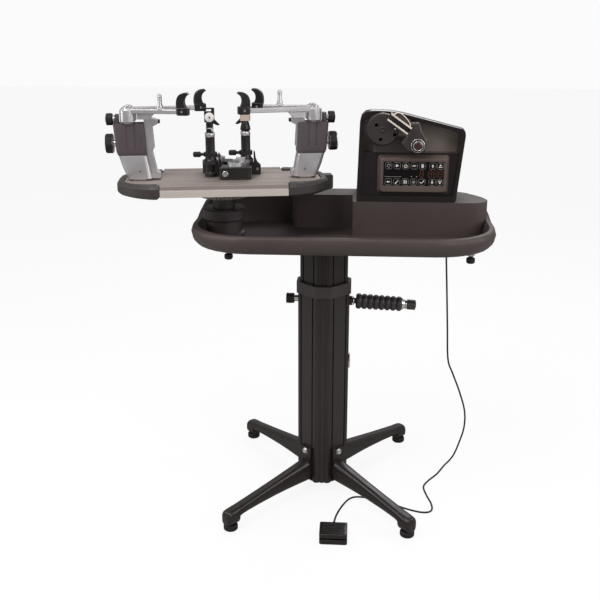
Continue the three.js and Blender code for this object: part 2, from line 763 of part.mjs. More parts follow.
function trayTub() {
  const height = TRAY_RIM - TRAY_BOTTOM;
  const floor = TRAY_FLOOR / height;
  const heights = [...TRAY_RINGS.heightShares, floor];
  return loft(heights.map((share, i) => {
    const inset = TRAY_RINGS.flare * TRAY_RINGS.insetShares[i];
    return trayRing(inset, TRAY_BOTTOM + share * height, TRAY_RINGS.liftShares[i]);
  }));
}

function trayShelf() {
  const back = TRAY_CENTER_Y + TRAY_HALF_Y + OVERRUN;
  const right = TRAY_CENTER_X + TRAY_HALF_X - LEDGE_INSET;
  const outline = rounded([
    [LEDGE_X, LEDGE_Y, PEDESTAL_EDGE],
    [right, LEDGE_Y, LEDGE_CORNER],
    [right, back],
    [BACK_SHELF_X, back],
    [BACK_SHELF_X, BACK_SHELF_Y, BACK_SHELF_CORNER],
    [LEDGE_X, BACK_SHELF_Y, PEDESTAL_EDGE],
  ], CORNER_STEPS + 2);
  const inner = roundRect(
    TRAY_HALF_X - LEDGE_INSET,
    TRAY_HALF_Y - LEDGE_INSET,
    TRAY_CORNER - LEDGE_INSET,
    TRAY_CORNER_STEPS,
  );
  const low = TRAY_BOTTOM + TRAY_FLOOR / 2;
  const high = TRAY_RIM + TRAY_BACK_RISE;
  const limit = prism(inner, low, high).translate(TRAY_CENTER_X, TRAY_CENTER_Y, 0);
  return common(prism(outline, low, high), limit);
}

// The shelf is hollow from below, where it can't be seen.
function shelfCore() {
  const wall = TRAY_FLOOR;
  const right = GLAND_X - GLAND_RADIUS * 2;
  const back = TRAY_CENTER_Y + TRAY_HALF_Y - TRAY_RINGS.flare;
  const high = TRAY_RIM + TRAY_BACK_RISE - wall;
  return box(LEDGE_X + wall, right, FLANGE_HALF_Y + wall, back, TRAY_BOTTOM - OVERRUN, high);
}

function tray() {
  const gland = disc(GLAND_RADIUS, -GLAND_LENGTH, TRAY_FLOOR / 2).translate(GLAND_X, GLAND_Y, TRAY_BOTTOM);
  return join(cut(join(trayTub(), trayShelf()), shelfCore()), gland);
}

function trayFoot() {
  const top = -GAP;
  const low = -TRAY_FOOT_HEIGHT;
  return turned([
    [0, low],
    [TRAY_FOOT_RADIUS - FOOT_CHAMFER, low],
    [TRAY_FOOT_RADIUS, low + FOOT_CHAMFER],
    [TRAY_FOOT_RADIUS, low / 2],
    [TRAY_FOOT_RADIUS / 2, low / 2],
    [TRAY_FOOT_RADIUS / 2, top],
    [0, top],
  ], PEG_STEPS);
}

function buildTray() {
  piece(model, "tray", tray(), trayPlastic);
  CORNERS.forEach(([corner, sx, sy]) => {
    const x = TRAY_FOOT_X + sx * TRAY_FOOT_SPREAD_X;
    const y = TRAY_CENTER_Y + sy * TRAY_FOOT_SPREAD_Y;
    piece(model, `tray_foot_${corner}`, trayFoot(), rubber).position.set(x, y, TRAY_BOTTOM);
  });
}

// Turntable

const FLOOR_TOP = TRAY_BOTTOM + TRAY_FLOOR;
const DECK_TOP = TRAY_BOTTOM + DECK_RISE;
const DECK_LOW = DECK_TOP - DECK_THICK;
const RING_LOW = DECK_LOW - RING_THICK;
const PEDESTAL_DISC_HIGH = RING_LOW - PEDESTAL_DISC_DROP;
const PEDESTAL_DISC_LOW = PEDESTAL_DISC_HIGH - PEDESTAL_DISC_THICK;

function pedestal() {
  const foot = FLOOR_TOP + GAP;
  return turned([
    [0, foot],
    [PEDESTAL_FOOT_RADIUS, foot],
    [PEDESTAL_FOOT_RADIUS, foot + PEDESTAL_FOOT_HEIGHT],
    [PEDESTAL_WAIST_RADIUS, foot + PEDESTAL_FOOT_HEIGHT + PEDESTAL_EDGE],
    [PEDESTAL_WAIST_RADIUS, PEDESTAL_DISC_LOW],
    [PEDESTAL_DISC_RADIUS - PEDESTAL_EDGE, PEDESTAL_DISC_LOW],
    [PEDESTAL_DISC_RADIUS, PEDESTAL_DISC_LOW + PEDESTAL_EDGE],
    [PEDESTAL_DISC_RADIUS, PEDESTAL_DISC_HIGH - PEDESTAL_EDGE],
    [PEDESTAL_DISC_RADIUS - PEDESTAL_EDGE, PEDESTAL_DISC_HIGH],
    [PEDESTAL_NECK_RADIUS, PEDESTAL_DISC_HIGH],
    [PEDESTAL_NECK_RADIUS, RING_LOW - GAP],
    [0, RING_LOW - GAP],
  ], ROUND_STEPS);
}

// A ring of small teeth that the turntable brake grips.
function brakeRing() {
  const outline = [];
  const pitch = FULL / RING_TEETH;
  for (let tooth = 0; tooth < RING_TEETH; tooth += 1) {
    const start = tooth * pitch;
    const flat = TOOTH_FLAT_SHARE * pitch;
    const tip = start + pitch / 2;
    const spots = [[start, 0], [start + flat, 0], [tip, TOOTH_DEPTH], [tip + flat, TOOTH_DEPTH]];
    spots.forEach(([angle, rise]) => {
      const radius = RING_RADIUS - TOOTH_DEPTH + rise;
      outline.push(V2(radius * Math.cos(angle), radius * Math.sin(angle)));
    });
  }
  return prism(outline, RING_LOW, DECK_LOW - GAP);
}

function deckSection() {
  const front = -DECK_HALF_Y;
  const back = DECK_HALF_Y;
  const lip = DECK_HALF_Y - DECK_STEP;
  const band = DECK_LOW + DECK_BAND;
  const groove = band + DECK_STEP / 2;
  const slots = [...SLOT_SHARES].reverse().flatMap((share) => {
    const middle = share * DECK_HALF_Y;
    const [near, far] = [middle - SLOT_WIDTH / 2, middle + SLOT_WIDTH / 2];
    return [[far, DECK_TOP], [far, DECK_TOP - SLOT_DEPTH], [near, DECK_TOP - SLOT_DEPTH], [near, DECK_TOP]];
  });
  return [
    [front + DECK_SIDE, DECK_LOW],
    [front + DECK_SIDE, DECK_TOP - DECK_PLATE],
    [back - DECK_SIDE, DECK_TOP - DECK_PLATE],
    [back - DECK_SIDE, DECK_LOW],
    [back, DECK_LOW],
    [back, band],
    [lip, groove],
    [lip, DECK_TOP],
    ...slots,
    [-lip, DECK_TOP],
    [-lip, groove],
    [front, band],
    [front, DECK_LOW],
  ].map(([y, z]) => V2(y, z));
}

function tongueOutline(inset) {
  return roundRect(TONGUE_HALF_X - inset, TONGUE_HALF_Y - inset, TONGUE_CORNER - inset, CORNER_STEPS * 2);
}

function turntableDeck() {
  const rail = sidePlate(deckSection(), -DECK_HALF_X, DECK_HALF_X);
  const tongue = prism(tongueOutline(0), DECK_TOP - DECK_PLATE, DECK_TOP - SLOT_DEPTH);
  const hub = disc(RING_RADIUS * 0.6, DECK_LOW, DECK_TOP - DECK_PLATE / 2, ROUND_STEPS);
  return join(rail, tongue, hub);
}

// The moulded end of the turntable, for the end at +X; the lug locks the turntable.
function endCap(hasLug) {
  const start = DECK_HALF_X + GAP;
  const outline = rounded([
    [start, -DECK_HALF_Y],
    [start + CAP_BEVEL * 3, -DECK_HALF_Y, CAP_BEVEL],
    [CAP_SHOULDER_X, -CAP_SHOULDER_HALF_Y, CAP_NOSE_HALF_Y / 2],
    [CAP_TIP_X, -CAP_NOSE_HALF_Y, CAP_NOSE_HALF_Y / 2],
    [CAP_TIP_X, CAP_NOSE_HALF_Y, CAP_NOSE_HALF_Y / 2],
    [CAP_SHOULDER_X, CAP_SHOULDER_HALF_Y, CAP_NOSE_HALF_Y / 2],
    [start + CAP_BEVEL * 3, DECK_HALF_Y, CAP_BEVEL],
    [start, DECK_HALF_Y],
  ], CAP_STEPS);
  const body = prism(outline, DECK_LOW - CAP_DROP, DECK_TOP, CAP_BEVEL);
  const pocket = prism(tongueOutline(-GAP), DECK_TOP - DECK_PLATE - GAP, DECK_TOP + OVERRUN);
  const squareEnd = box(0, start, -DECK_HALF_Y, DECK_HALF_Y, DECK_LOW - OVERRUN, DECK_TOP + OVERRUN);
  const lugLow = DECK_LOW - CAP_DROP - LUG_DROP;
  const lug = rounded([
    [CAP_TIP_X - CAP_BEVEL, lugLow + LUG_DROP],
    [CAP_TIP_X, lugLow],
    [CAP_TIP_X + LUG_REACH, lugLow + LUG_DROP / 2, LUG_DROP / 3],
    [CAP_TIP_X + LUG_REACH, DECK_TOP - SLOT_DEPTH, LUG_DROP / 3],
    [CAP_TIP_X - CAP_BEVEL, DECK_TOP - SLOT_DEPTH],
  ]);
  const cap = cut(body, pocket, squareEnd);
  return hasLug ? join(cap, frontPlate(lug, LUG_Y, LUG_Y + LUG_WIDTH)) : cap;
}

// Towers

const HOUSING_TOP = BASE_HEIGHT + HOUSING_HEIGHT;

function towerRing(out, inward, halfY, z, corner) {
  const halfX = (out + inward) / 2;
  const middle = (inward - out) / 2;
  return roundRect(halfX, halfY, corner).map((p) => V3(middle + p.x, p.y, z));
}

// The line of the support's outer face from the deck to its top, moved outwards.
function supportLine(outwards) {
  const foot = V2(BASE_IN + RUN_GAP - outwards, GAP + RUN_GAP);
  const belt = V2(BASE_TOP_IN + RUN_GAP - outwards, BASE_HEIGHT + HOUSING_CORNER);
  const top = V2(HOUSING_TOP_IN + RUN_GAP - outwards, HOUSING_TOP);
  return [foot, belt, top];
}

// The slot in a tower's inner face that the support slides in.
function supportSlot() {
  const [foot, belt, top] = supportLine(RIGHT_STRIP_SEAT + RUN_GAP);
  const far = BASE_IN + OVERRUN;
  const outline = [
    V2(foot.x, -OVERRUN),
    V2(far, -OVERRUN),
    V2(far, HOUSING_TOP + OVERRUN),
    V2(top.x, HOUSING_TOP + OVERRUN),
    top,
    belt,
    foot,
  ];
  const half = STRIP_HALF_Y + RUN_GAP;
  return frontPlate(outline, -half, half);
}

function towerBase() {
  const top = BASE_HEIGHT - GAP;
  const waistOut = (BASE_OUT + BASE_TOP_OUT) / 2;
  const waistIn = BASE_IN * BASE_WAIST_SHARE;
  const topHalfY = HOUSING_HALF_Y - BASE_TOP_INSET;
  const body = loft([
    towerRing(BASE_OUT, BASE_IN, BASE_HALF_Y, GAP, BASE_CORNER),
    towerRing(waistOut, waistIn, BASE_HALF_Y, BASE_HEIGHT / 2, BASE_CORNER),
    towerRing(BASE_TOP_OUT - BASE_TOP_INSET * 2, BASE_TOP_IN, topHalfY, top, BASE_CORNER),
  ]);
  const shoe = box(-SHOE_OUT, SHOE_IN, -SHOE_HALF_Y, SHOE_HALF_Y, GAP - SLOT_DEPTH, GAP + SLOT_DEPTH);
  return cut(join(body, shoe), supportSlot());
}

function towerHousing() {
  const top = HOUSING_TOP - GAP;
  const belt = BASE_HEIGHT + HOUSING_CORNER;
  const seatOut = BASE_TOP_OUT - FLUTE_DEPTH;
  const body = loft([
    towerRing(seatOut, BASE_TOP_IN, HOUSING_HALF_Y - FLUTE_DEPTH, BASE_HEIGHT, HOUSING_CORNER),
    towerRing(BASE_TOP_OUT, BASE_TOP_IN, HOUSING_HALF_Y, belt, HOUSING_CORNER),
    towerRing(HOUSING_TOP_OUT, HOUSING_TOP_IN, HOUSING_HALF_Y, top, HOUSING_CORNER),
  ]);
  const length = BASE_TOP_OUT + BASE_TOP_IN;
  const cutters = FLUTE_SHARES.flatMap((share) => [-1, 1].map((side) => {
    const x = share * length - BASE_TOP_OUT;
    const y = side * (HOUSING_HALF_Y - FLUTE_DEPTH);
    const outer = side * (HOUSING_HALF_Y + OVERRUN);
    const spread = FLUTE_WIDTH * 1.6;
    const outline = [V2(x, y), V2(x + side * spread, outer), V2(x - side * spread, outer)];
    return prism(outline, belt + HOUSING_CORNER, top + OVERRUN);
  }));
  const near = HOUSING_CORNER / 2 - HOUSING_TOP_OUT;
  const bracket = box(near, near + BRACKET_THICK, -BRACKET_HALF, BRACKET_HALF, HOUSING_HEIGHT, BRACKET_TOP);
  return join(cut(body, supportSlot(), ...cutters), bracket);
}

// The slanted frame support on the inner face, with its lip on top.
function frameSupport() {
  const [foot, belt, seat] = supportLine(0);
  const low = foot.y;
  const top = HOUSING_TOP + STRIP_RISE;
  const bite = STRIP_THICK - STRIP_BITE / 3;
  const outline = [
    foot,
    V2(foot.x + STRIP_THICK, low),
    V2(foot.x + STRIP_THICK, low + STRIP_LIP_HEIGHT),
    V2(foot.x + bite - STRIP_BITE / 6, low + STRIP_LIP_HEIGHT + STRIP_BITE / 3),
    V2(belt.x + bite, BASE_HEIGHT + STRIP_BITE / 2),
    V2(belt.x + STRIP_THICK, BASE_HEIGHT + STRIP_BITE),
    V2(seat.x + STRIP_THICK, top - STRIP_LIP_HEIGHT - STRIP_LIP / 2),
    V2(seat.x + STRIP_THICK + STRIP_LIP, top - STRIP_LIP_HEIGHT),
    V2(seat.x + STRIP_THICK + STRIP_LIP, top - STRIP_LIP_HEIGHT / 3),
    V2(seat.x + STRIP_THICK, top),
    V2(seat.x, top),
    seat,
    belt,
  ];
  return frontPlate(outline, -STRIP_HALF_Y, STRIP_HALF_Y);
}

// A fluted hand knob on a plain neck, growing along -X from its neck's root.
function fluteKnob(radius, length, lobes) {
  const outline = [];
  const steps = lobes * KNOB_LOBE_STEPS;
  for (let i = 0; i < steps; i += 1) {
    const angle = (FULL * i) / steps;
    const r = radius * (1 - (LOBE_SHARE * (1 + Math.cos(lobes * angle))) / 2);
    outline.push(V2(r * Math.cos(angle), r * Math.sin(angle)));
  }
  const head = prism(outline, KNOB_NECK, KNOB_NECK + length, length * 0.12);
  const neck = disc(KNOB_NECK_RADIUS, 0, KNOB_NECK + length / 2);
  return join(head, neck).rotateY(-90 * DEG);
}

// The housing's outer face at a height above the deck.
function housingOut(z) {
  const belt = BASE_HEIGHT + HOUSING_CORNER;
  const share = (z - belt) / (HOUSING_TOP - belt);
  return BASE_TOP_OUT + share * (HOUSING_TOP_OUT - BASE_TOP_OUT);
}

// A swing arm about its hub's axis; it reaches along +X. The hub's underside is at 0.
function swingArm(reach, hasPeg) {
  const armLow = HUB_HEIGHT - ARM_THICK;
  const hub = turned([
    [0, 0],
    [HUB_RADIUS - FOOT_CHAMFER * 2, 0],
    [HUB_RADIUS, FOOT_CHAMFER * 2],
    [HUB_RADIUS, HUB_HEIGHT - FOOT_CHAMFER],
    [HUB_RADIUS - FOOT_CHAMFER, HUB_HEIGHT],
    [0, HUB_HEIGHT],
  ]);
  const bar = prism([
    V2(0, -ARM_ROOT_HALF),
    V2(reach / 2, -ARM_TIP_HALF),
    V2(reach, -ARM_TIP_HALF),
    V2(reach, ARM_TIP_HALF),
    V2(reach / 2, ARM_TIP_HALF),
    V2(0, ARM_ROOT_HALF),
  ], armLow, HUB_HEIGHT, FOOT_CHAMFER / 2);
  const gusset = frontPlate([
    V2(GUSSET_START, armLow + ARM_THICK / 2),
    V2(GUSSET_START, armLow + ARM_THICK / 2 - GUSSET_DROP),
    V2(GUSSET_END * 0.75, armLow + ARM_THICK / 2 - GUSSET_DROP),
    V2(GUSSET_END, armLow + ARM_THICK / 2),
  ], -GUSSET_HALF, GUSSET_HALF);
  const pegTop = HUB_HEIGHT + PEG_HEIGHT;
  const peg = turned([
    [0, armLow + ARM_THICK / 2],
    [PEG_RADIUS, armLow + ARM_THICK / 2],
    [PEG_RADIUS, HUB_HEIGHT + PEG_HEIGHT / 4],
    [PEG_TIP_RADIUS, HUB_HEIGHT + PEG_HEIGHT / 3],
    [PEG_TIP_RADIUS, pegTop - FOOT_CHAMFER],
    [PEG_TIP_RADIUS / 2, pegTop],
    [0, pegTop],
  ], PEG_STEPS).translate(PEG_REACH, 0, 0);
  return hasPeg ? join(hub, bar, gusset, peg) : join(hub, bar, gusset);
}

// A shoulder hook: a block past the arm's end with a curved claw that leans inwards.
function shoulderHook(reach) {
  const low = HUB_HEIGHT - ARM_THICK - HOOK_BLOCK_DROP;
  const start = reach + GAP;
  const end = start + HOOK_BLOCK_LENGTH;
  const half = HOOK_BLOCK_WIDTH / 2;
  const block = prism(
    roundRect(HOOK_BLOCK_LENGTH / 2, half, half / 2),
    low,
    low + HOOK_BLOCK_HEIGHT,
    FOOT_CHAMFER / 2,
  ).translate((start + end) / 2, 0, 0);
  const foot = low + HOOK_BLOCK_HEIGHT / 2;
  const top = low + HOOK_BLOCK_HEIGHT + CLAW_HEIGHT;
  const back = new THREE.CubicBezierCurve(
    V2(start + HOOK_BLOCK_LENGTH * 0.08, foot),
    V2(start - HOOK_BLOCK_LENGTH * 0.02, top - CLAW_HEIGHT * 0.45),
    V2(start + HOOK_BLOCK_LENGTH * 0.1, top),
    V2(start + HOOK_BLOCK_LENGTH * 0.9, top),
  );
  const throat = new THREE.CubicBezierCurve(
    V2(start + HOOK_BLOCK_LENGTH, top - CLAW_HEIGHT * 0.13),
    V2(start + HOOK_BLOCK_LENGTH * 0.5, top - CLAW_HEIGHT * 0.25),
    V2(start + HOOK_BLOCK_LENGTH * 0.4, top - CLAW_HEIGHT * 0.6),
    V2(start + HOOK_BLOCK_LENGTH * 0.85, foot),
  );
  const outline = [...back.getPoints(CLAW_STEPS), ...throat.getPoints(CLAW_STEPS)].reverse();
  return join(block, frontPlate(outline, -CLAW_WIDTH / 2, CLAW_WIDTH / 2, FOOT_CHAMFER / 2));
}

function buildTower(table, side, turn) {
  const tower = groupAt(table, 0, 0, DECK_TOP, turn);
  const stand = groupAt(tower, -TOWER_X, 0, 0);
  piece(stand, `tower_base_${side}`, towerBase(), silver);
  piece(stand, `tower_housing_${side}`, towerHousing(), greyPlastic);
  const seatDepth = side === "left" ? LEFT_STRIP_SEAT : RIGHT_STRIP_SEAT;
  piece(stand, `frame_support_${side}`, frameSupport(), silver).position.x = -seatDepth;
  const bigShape = fluteKnob(BIG_KNOB_RADIUS, BIG_KNOB_LENGTH, BIG_KNOB_LOBES);
  const big = piece(stand, `support_knob_${side}`, bigShape, rubber);
  big.position.set(-housingOut(BIG_KNOB_HEIGHT + KNOB_NECK_RADIUS) - GAP, 0, BIG_KNOB_HEIGHT);
  const smallShape = fluteKnob(SMALL_KNOB_RADIUS, SMALL_KNOB_LENGTH, SMALL_KNOB_LOBES);
  const small = piece(stand, `arm_knob_${side}`, smallShape, rubber);
  small.position.set(HOUSING_CORNER / 2 - HOUSING_TOP_OUT - GAP, 0, SMALL_KNOB_HEIGHT);
  const arms = [["short", -1, SHORT_REACH, SHORT_SPLAY], ["long", 1, LONG_REACH, LONG_SPLAY]];
  arms.forEach(([kind, sy, reach, splay]) => {
    const arm = groupAt(stand, HUB_X, sy * HUB_Y, HOUSING_TOP + GAP, sy * splay);
    piece(arm, `${kind}_arm_${side}`, swingArm(reach, kind === "short"), silver);
    piece(arm, `${kind}_hook_${side}`, shoulderHook(reach), blackPlastic);
  });
}

// String clamps

function clampBase() {
  const outline = roundRect(CLAMP_BLOCK_X / 2, CLAMP_BLOCK_Y / 2, CLAMP_BLOCK_CORNER);
  return prism(outline, GAP, CLAMP_BLOCK_HEIGHT, FOOT_CHAMFER / 2);
}

// The link from the base's pivot to the post, with a bore for the post's seat.
function clampLink() {
  const low = CLAMP_BLOCK_HEIGHT + GAP;
  const high = low + LINK_THICK;
  const bar = box(-LINK_RADIUS * 0.8, LINK_RADIUS * 0.8, 0, ARM_LINK, low, high);
  const ends = [0, ARM_LINK].map((y) => disc(LINK_RADIUS, low, high, ROUND_STEPS).translate(0, y, 0));
  const bore = disc(POST_RADIUS + RUN_GAP, low - OVERRUN, high + OVERRUN).translate(0, ARM_LINK, 0);
  return cut(join(bar, ...ends), bore);
}

const LINK_TOP = CLAMP_BLOCK_HEIGHT + GAP + LINK_THICK;
const ROD_LOW = ROD_HEIGHT - ROD_RING_HEIGHT / 2;
const ROD_TOP = ROD_HEIGHT + ROD_RING_HEIGHT / 2;

// The clamp's post on its foot, with a curved fin under the link and a collar over it.
function clampPost() {
  const footTop = GAP + POST_FOOT_HEIGHT;
  const collarLow = LINK_TOP + GAP;
  const post = turned([
    [0, GAP],
    [POST_FOOT_RADIUS, GAP],
    [POST_FOOT_RADIUS, footTop],
    [POST_RADIUS, footTop + POST_FOOT_RADIUS - POST_RADIUS],
    [POST_RADIUS, collarLow],
    [POST_COLLAR_RADIUS, collarLow],
    [POST_RADIUS, ROD_LOW - GAP],
    [POST_RADIUS, POST_HEIGHT],
    [0, POST_HEIGHT],
  ]);
  const finStart = LINK_RADIUS + RUN_GAP * 2;
  const shoulder = CLAMP_BLOCK_HEIGHT - GAP;
  const fin = new THREE.Shape();
  fin.moveTo(0, GAP);
  fin.lineTo(FIN_REACH, GAP);
  fin.lineTo(FIN_REACH, shoulder * 0.8);
  fin.quadraticCurveTo(finStart + FIN_THICK / 4, shoulder, finStart + FOOT_CHAMFER, FIN_TOP);
  fin.lineTo(finStart, FIN_TOP);
  fin.lineTo(finStart, shoulder);
  fin.lineTo(0, shoulder);
  return join(post, frontPlate(fin, -FIN_THICK / 2, FIN_THICK / 2));
}

// The ring and rod that lock the clamp's base; the rod points along -X.
function lockRod() {
  const ring = disc(POST_RADIUS + RUN_GAP + ROD_RING_WALL, ROD_LOW, ROD_TOP);
  const ringRadius = POST_RADIUS + RUN_GAP;
  const rod = turned([
    [0, POST_RADIUS + ROD_RING_WALL / 2],
    [ROD_RADIUS, POST_RADIUS + ROD_RING_WALL / 2],
    [ROD_RADIUS, ROD_REACH],
    [ROD_GRIP_RADIUS, ROD_REACH + FOOT_CHAMFER / 2],
    [ROD_GRIP_RADIUS, ROD_REACH + ROD_GRIP_LENGTH],
    [ROD_RADIUS, ROD_REACH + ROD_GRIP_LENGTH + FOOT_CHAMFER / 2],
    [0, ROD_REACH + ROD_GRIP_LENGTH + FOOT_CHAMFER / 2],
  ], PEG_STEPS).rotateY(-90 * DEG).translate(0, 0, ROD_HEIGHT);
  const bore = disc(ringRadius, ROD_LOW - OVERRUN, ROD_TOP + OVERRUN);
  return cut(join(ring, rod), bore);
}

// The turning head: a ring, a neck, the jaw block with its split jaws, a dial and a cam lever.
function clampHead() {
  const low = POST_HEIGHT + GAP;
  const neckLow = low + HEAD_RING_HEIGHT;
  const blockLow = neckLow + HEAD_NECK_HEIGHT;
  const blockTop = blockLow + HEAD_HEIGHT;
  const stem = turned([
    [0, low],
    [POST_RADIUS, low],
    [POST_RADIUS, neckLow],
    [HEAD_NECK_RADIUS, neckLow],
    [HEAD_NECK_RADIUS, blockLow + HEAD_HEIGHT / 2],
    [0, blockLow + HEAD_HEIGHT / 2],
  ]);
  const block = prism(
    roundRect(HEAD_HALF_X, HEAD_HALF_Y, HEAD_HALF_Y / 3, 2),
    blockLow,
    blockTop,
  );
  const jawSide = JAW_SPLIT / 2 + JAW_THICK;
  const jawStart = HEAD_HALF_X - JAW_LENGTH;
  const jawLow = blockTop - JAW_THICK;
  const jawTop = blockTop + JAW_HEIGHT;
  const jaws = frontPlate([
    V2(HEAD_HALF_X - JAW_THICK * 2, jawLow),
    V2(HEAD_HALF_X, jawLow),
    V2(HEAD_HALF_X, jawTop),
    V2(jawStart, jawTop),
    V2(jawStart, jawTop - JAW_HEIGHT / 3),
    V2(HEAD_HALF_X - JAW_THICK * 2, jawTop - JAW_HEIGHT / 3),
  ], -jawSide, jawSide);
  const splitHalf = JAW_SPLIT / 2;
  const splitEnd = HEAD_HALF_X - JAW_THICK;
  const split = box(jawStart - OVERRUN, splitEnd, -splitHalf, splitHalf, blockTop, jawTop + OVERRUN);
  const dial = alongY(disc(DIAL_RADIUS, HEAD_HALF_Y / 2, HEAD_HALF_Y + DIAL_THICK)).rotateZ(180 * DEG);
  dial.translate(0, 0, blockLow + HEAD_HEIGHT / 2);
  const lever = frontPlate([
    V2(0, blockLow + LEVER_THICK),
    V2(0, blockLow),
    V2(LEVER_REACH, blockLow - LEVER_DROP),
    V2(LEVER_REACH + LEVER_THICK, blockLow - LEVER_DROP + LEVER_THICK / 3),
    V2(HEAD_HALF_X, blockLow + LEVER_THICK),
  ], -LEVER_THICK / 2, LEVER_THICK / 2);
  return cut(join(stem, block, jaws, dial, lever), split);
}

function buildClamp(table, { side, x, y, aim, facing }) {
  const clamp = groupAt(table, x, y, DECK_TOP);
  piece(clamp, `clamp_base_${side}`, clampBase(), blackPlastic);
  const link = groupAt(clamp, 0, 0, 0, aim);
  piece(link, `clamp_link_${side}`, clampLink(), silver);
  const postX = -ARM_LINK * Math.sin(aim * DEG);
  const postY = ARM_LINK * Math.cos(aim * DEG);
  const post = groupAt(clamp, postX, postY, 0);
  piece(post, `clamp_post_${side}`, clampPost(), blackPlastic);
  piece(post, `clamp_rod_${side}`, lockRod(), blackPlastic);
  const head = groupAt(post, 0, 0, 0, facing);
  piece(head, `clamp_head_${side}`, clampHead(), blackPlastic);
}

function buildTurntable() {
  piece(model, "turntable_pedestal", pedestal(), blackPlastic).position.set(SPIN_X, SPIN_Y, 0);
  const table = groupAt(model, SPIN_X, SPIN_Y, 0, TURN);
  piece(table, "brake_ring", brakeRing(), blackPlastic);
  piece(table, "turntable_deck", turntableDeck(), deckAluminium);
  piece(table, "end_cap_right", endCap(true), greyPlastic);
  piece(table, "end_cap_left", endCap(false).rotateZ(180 * DEG), greyPlastic);
  buildTower(table, "left", 0);
  buildTower(table, "right", 180);
  CLAMPS.forEach((clamp) => buildClamp(table, clamp));
}

// Console

function consoleOutline(inset, low) {
  const right = CONSOLE_RIGHT + CONSOLE_LEAN_RIGHT;
  const left = CONSOLE_LEFT + CONSOLE_LEAN_LEFT;
  const corner = CONSOLE_CORNER;
  const share = low / CONSOLE_RIGHT_TOP;
  return rounded([
    [CONSOLE_LEFT + share * CONSOLE_LEAN_LEFT + inset, low, corner / 3],
    [CONSOLE_RIGHT + share * CONSOLE_LEAN_RIGHT - inset, low, corner / 3],
    [right - inset, CONSOLE_RIGHT_TOP - inset, corner],
    [CONSOLE_SHOULDER_X, CONSOLE_TOP - inset, corner * 2],
    [left + inset, CONSOLE_TOP - inset, corner * 1.8],
  ]);
}

// The console's outline at a depth, lowered as the top falls to the back.
function consoleRing(inset, low, depth, share) {
  return consoleOutline(inset, low).map((p) => V3(p.x, depth, p.y * share));
}

// A cutter into the console's front, with its top parallel to the console's top.
function frontPocket(low, depth) {
  const { depthShares, heightShares } = CONSOLE_SIDE;
  const edge = depthShares.length - 2;
  const run = depthShares[edge - 1] - depthShares[edge];
  const fall = (heightShares[edge] - heightShares[edge - 1]) / run;
  const backShare = heightShares[edge] - fall * (depth / CONSOLE_DEPTH - depthShares[edge]);
  return loft([
    consoleRing(RECESS_RIM, low, depth, backShare),
    consoleRing(RECESS_RIM, low, -OVERRUN, 1),
  ]);
}

function consoleShell() {
  const { depthShares, heightShares } = CONSOLE_SIDE;
  const body = loft(depthShares.map((share, i) => {
    return consoleRing(0, 0, share * CONSOLE_DEPTH, heightShares[i]);
  }));
  return cut(body, frontPocket(RECESS_LOW, RECESS_DEPTH), frontPocket(FACE_LOW, FACE_DEPTH));
}

// The raised frame round the control panel.
function consoleBezel() {
  const far = FACE_DEPTH - GAP;
  const near = -BEZEL_PROUD;
  const ring = (inset, y) => {
    const halfX = (BEZEL_RIGHT - BEZEL_LEFT) / 2 - inset;
    const halfZ = (BEZEL_HIGH - BEZEL_LOW) / 2 - inset;
    const middleX = (BEZEL_RIGHT + BEZEL_LEFT) / 2;
    const middleZ = (BEZEL_HIGH + BEZEL_LOW) / 2;
    return roundRect(halfX, halfZ, BEZEL_CORNER).map((p) => V3(middleX + p.x, y, middleZ + p.y));
  };
  const body = loft([ring(0, far), ring(BEZEL_SLOPE, near)]);
  const seat = near + PANEL_THICK;
  const [left, right] = [PANEL_LEFT - GAP, PANEL_RIGHT + GAP];
  const [low, high] = [PANEL_LOW - GAP, PANEL_HIGH + GAP];
  return cut(body, box(left, right, near - OVERRUN, seat, low, high));
}

function controlPanel() {
  const seat = -BEZEL_PROUD + PANEL_THICK - GAP;
  const corners = [
    [PANEL_LEFT, PANEL_LOW, GAP],
    [PANEL_RIGHT, PANEL_LOW, GAP],
    [PANEL_RIGHT, PANEL_HIGH, GAP],
    [PANEL_LEFT, PANEL_HIGH, GAP],
  ];
  return frontPlate(rounded(corners), seat - PANEL_THICK + GAP, seat);
}

// Tension head

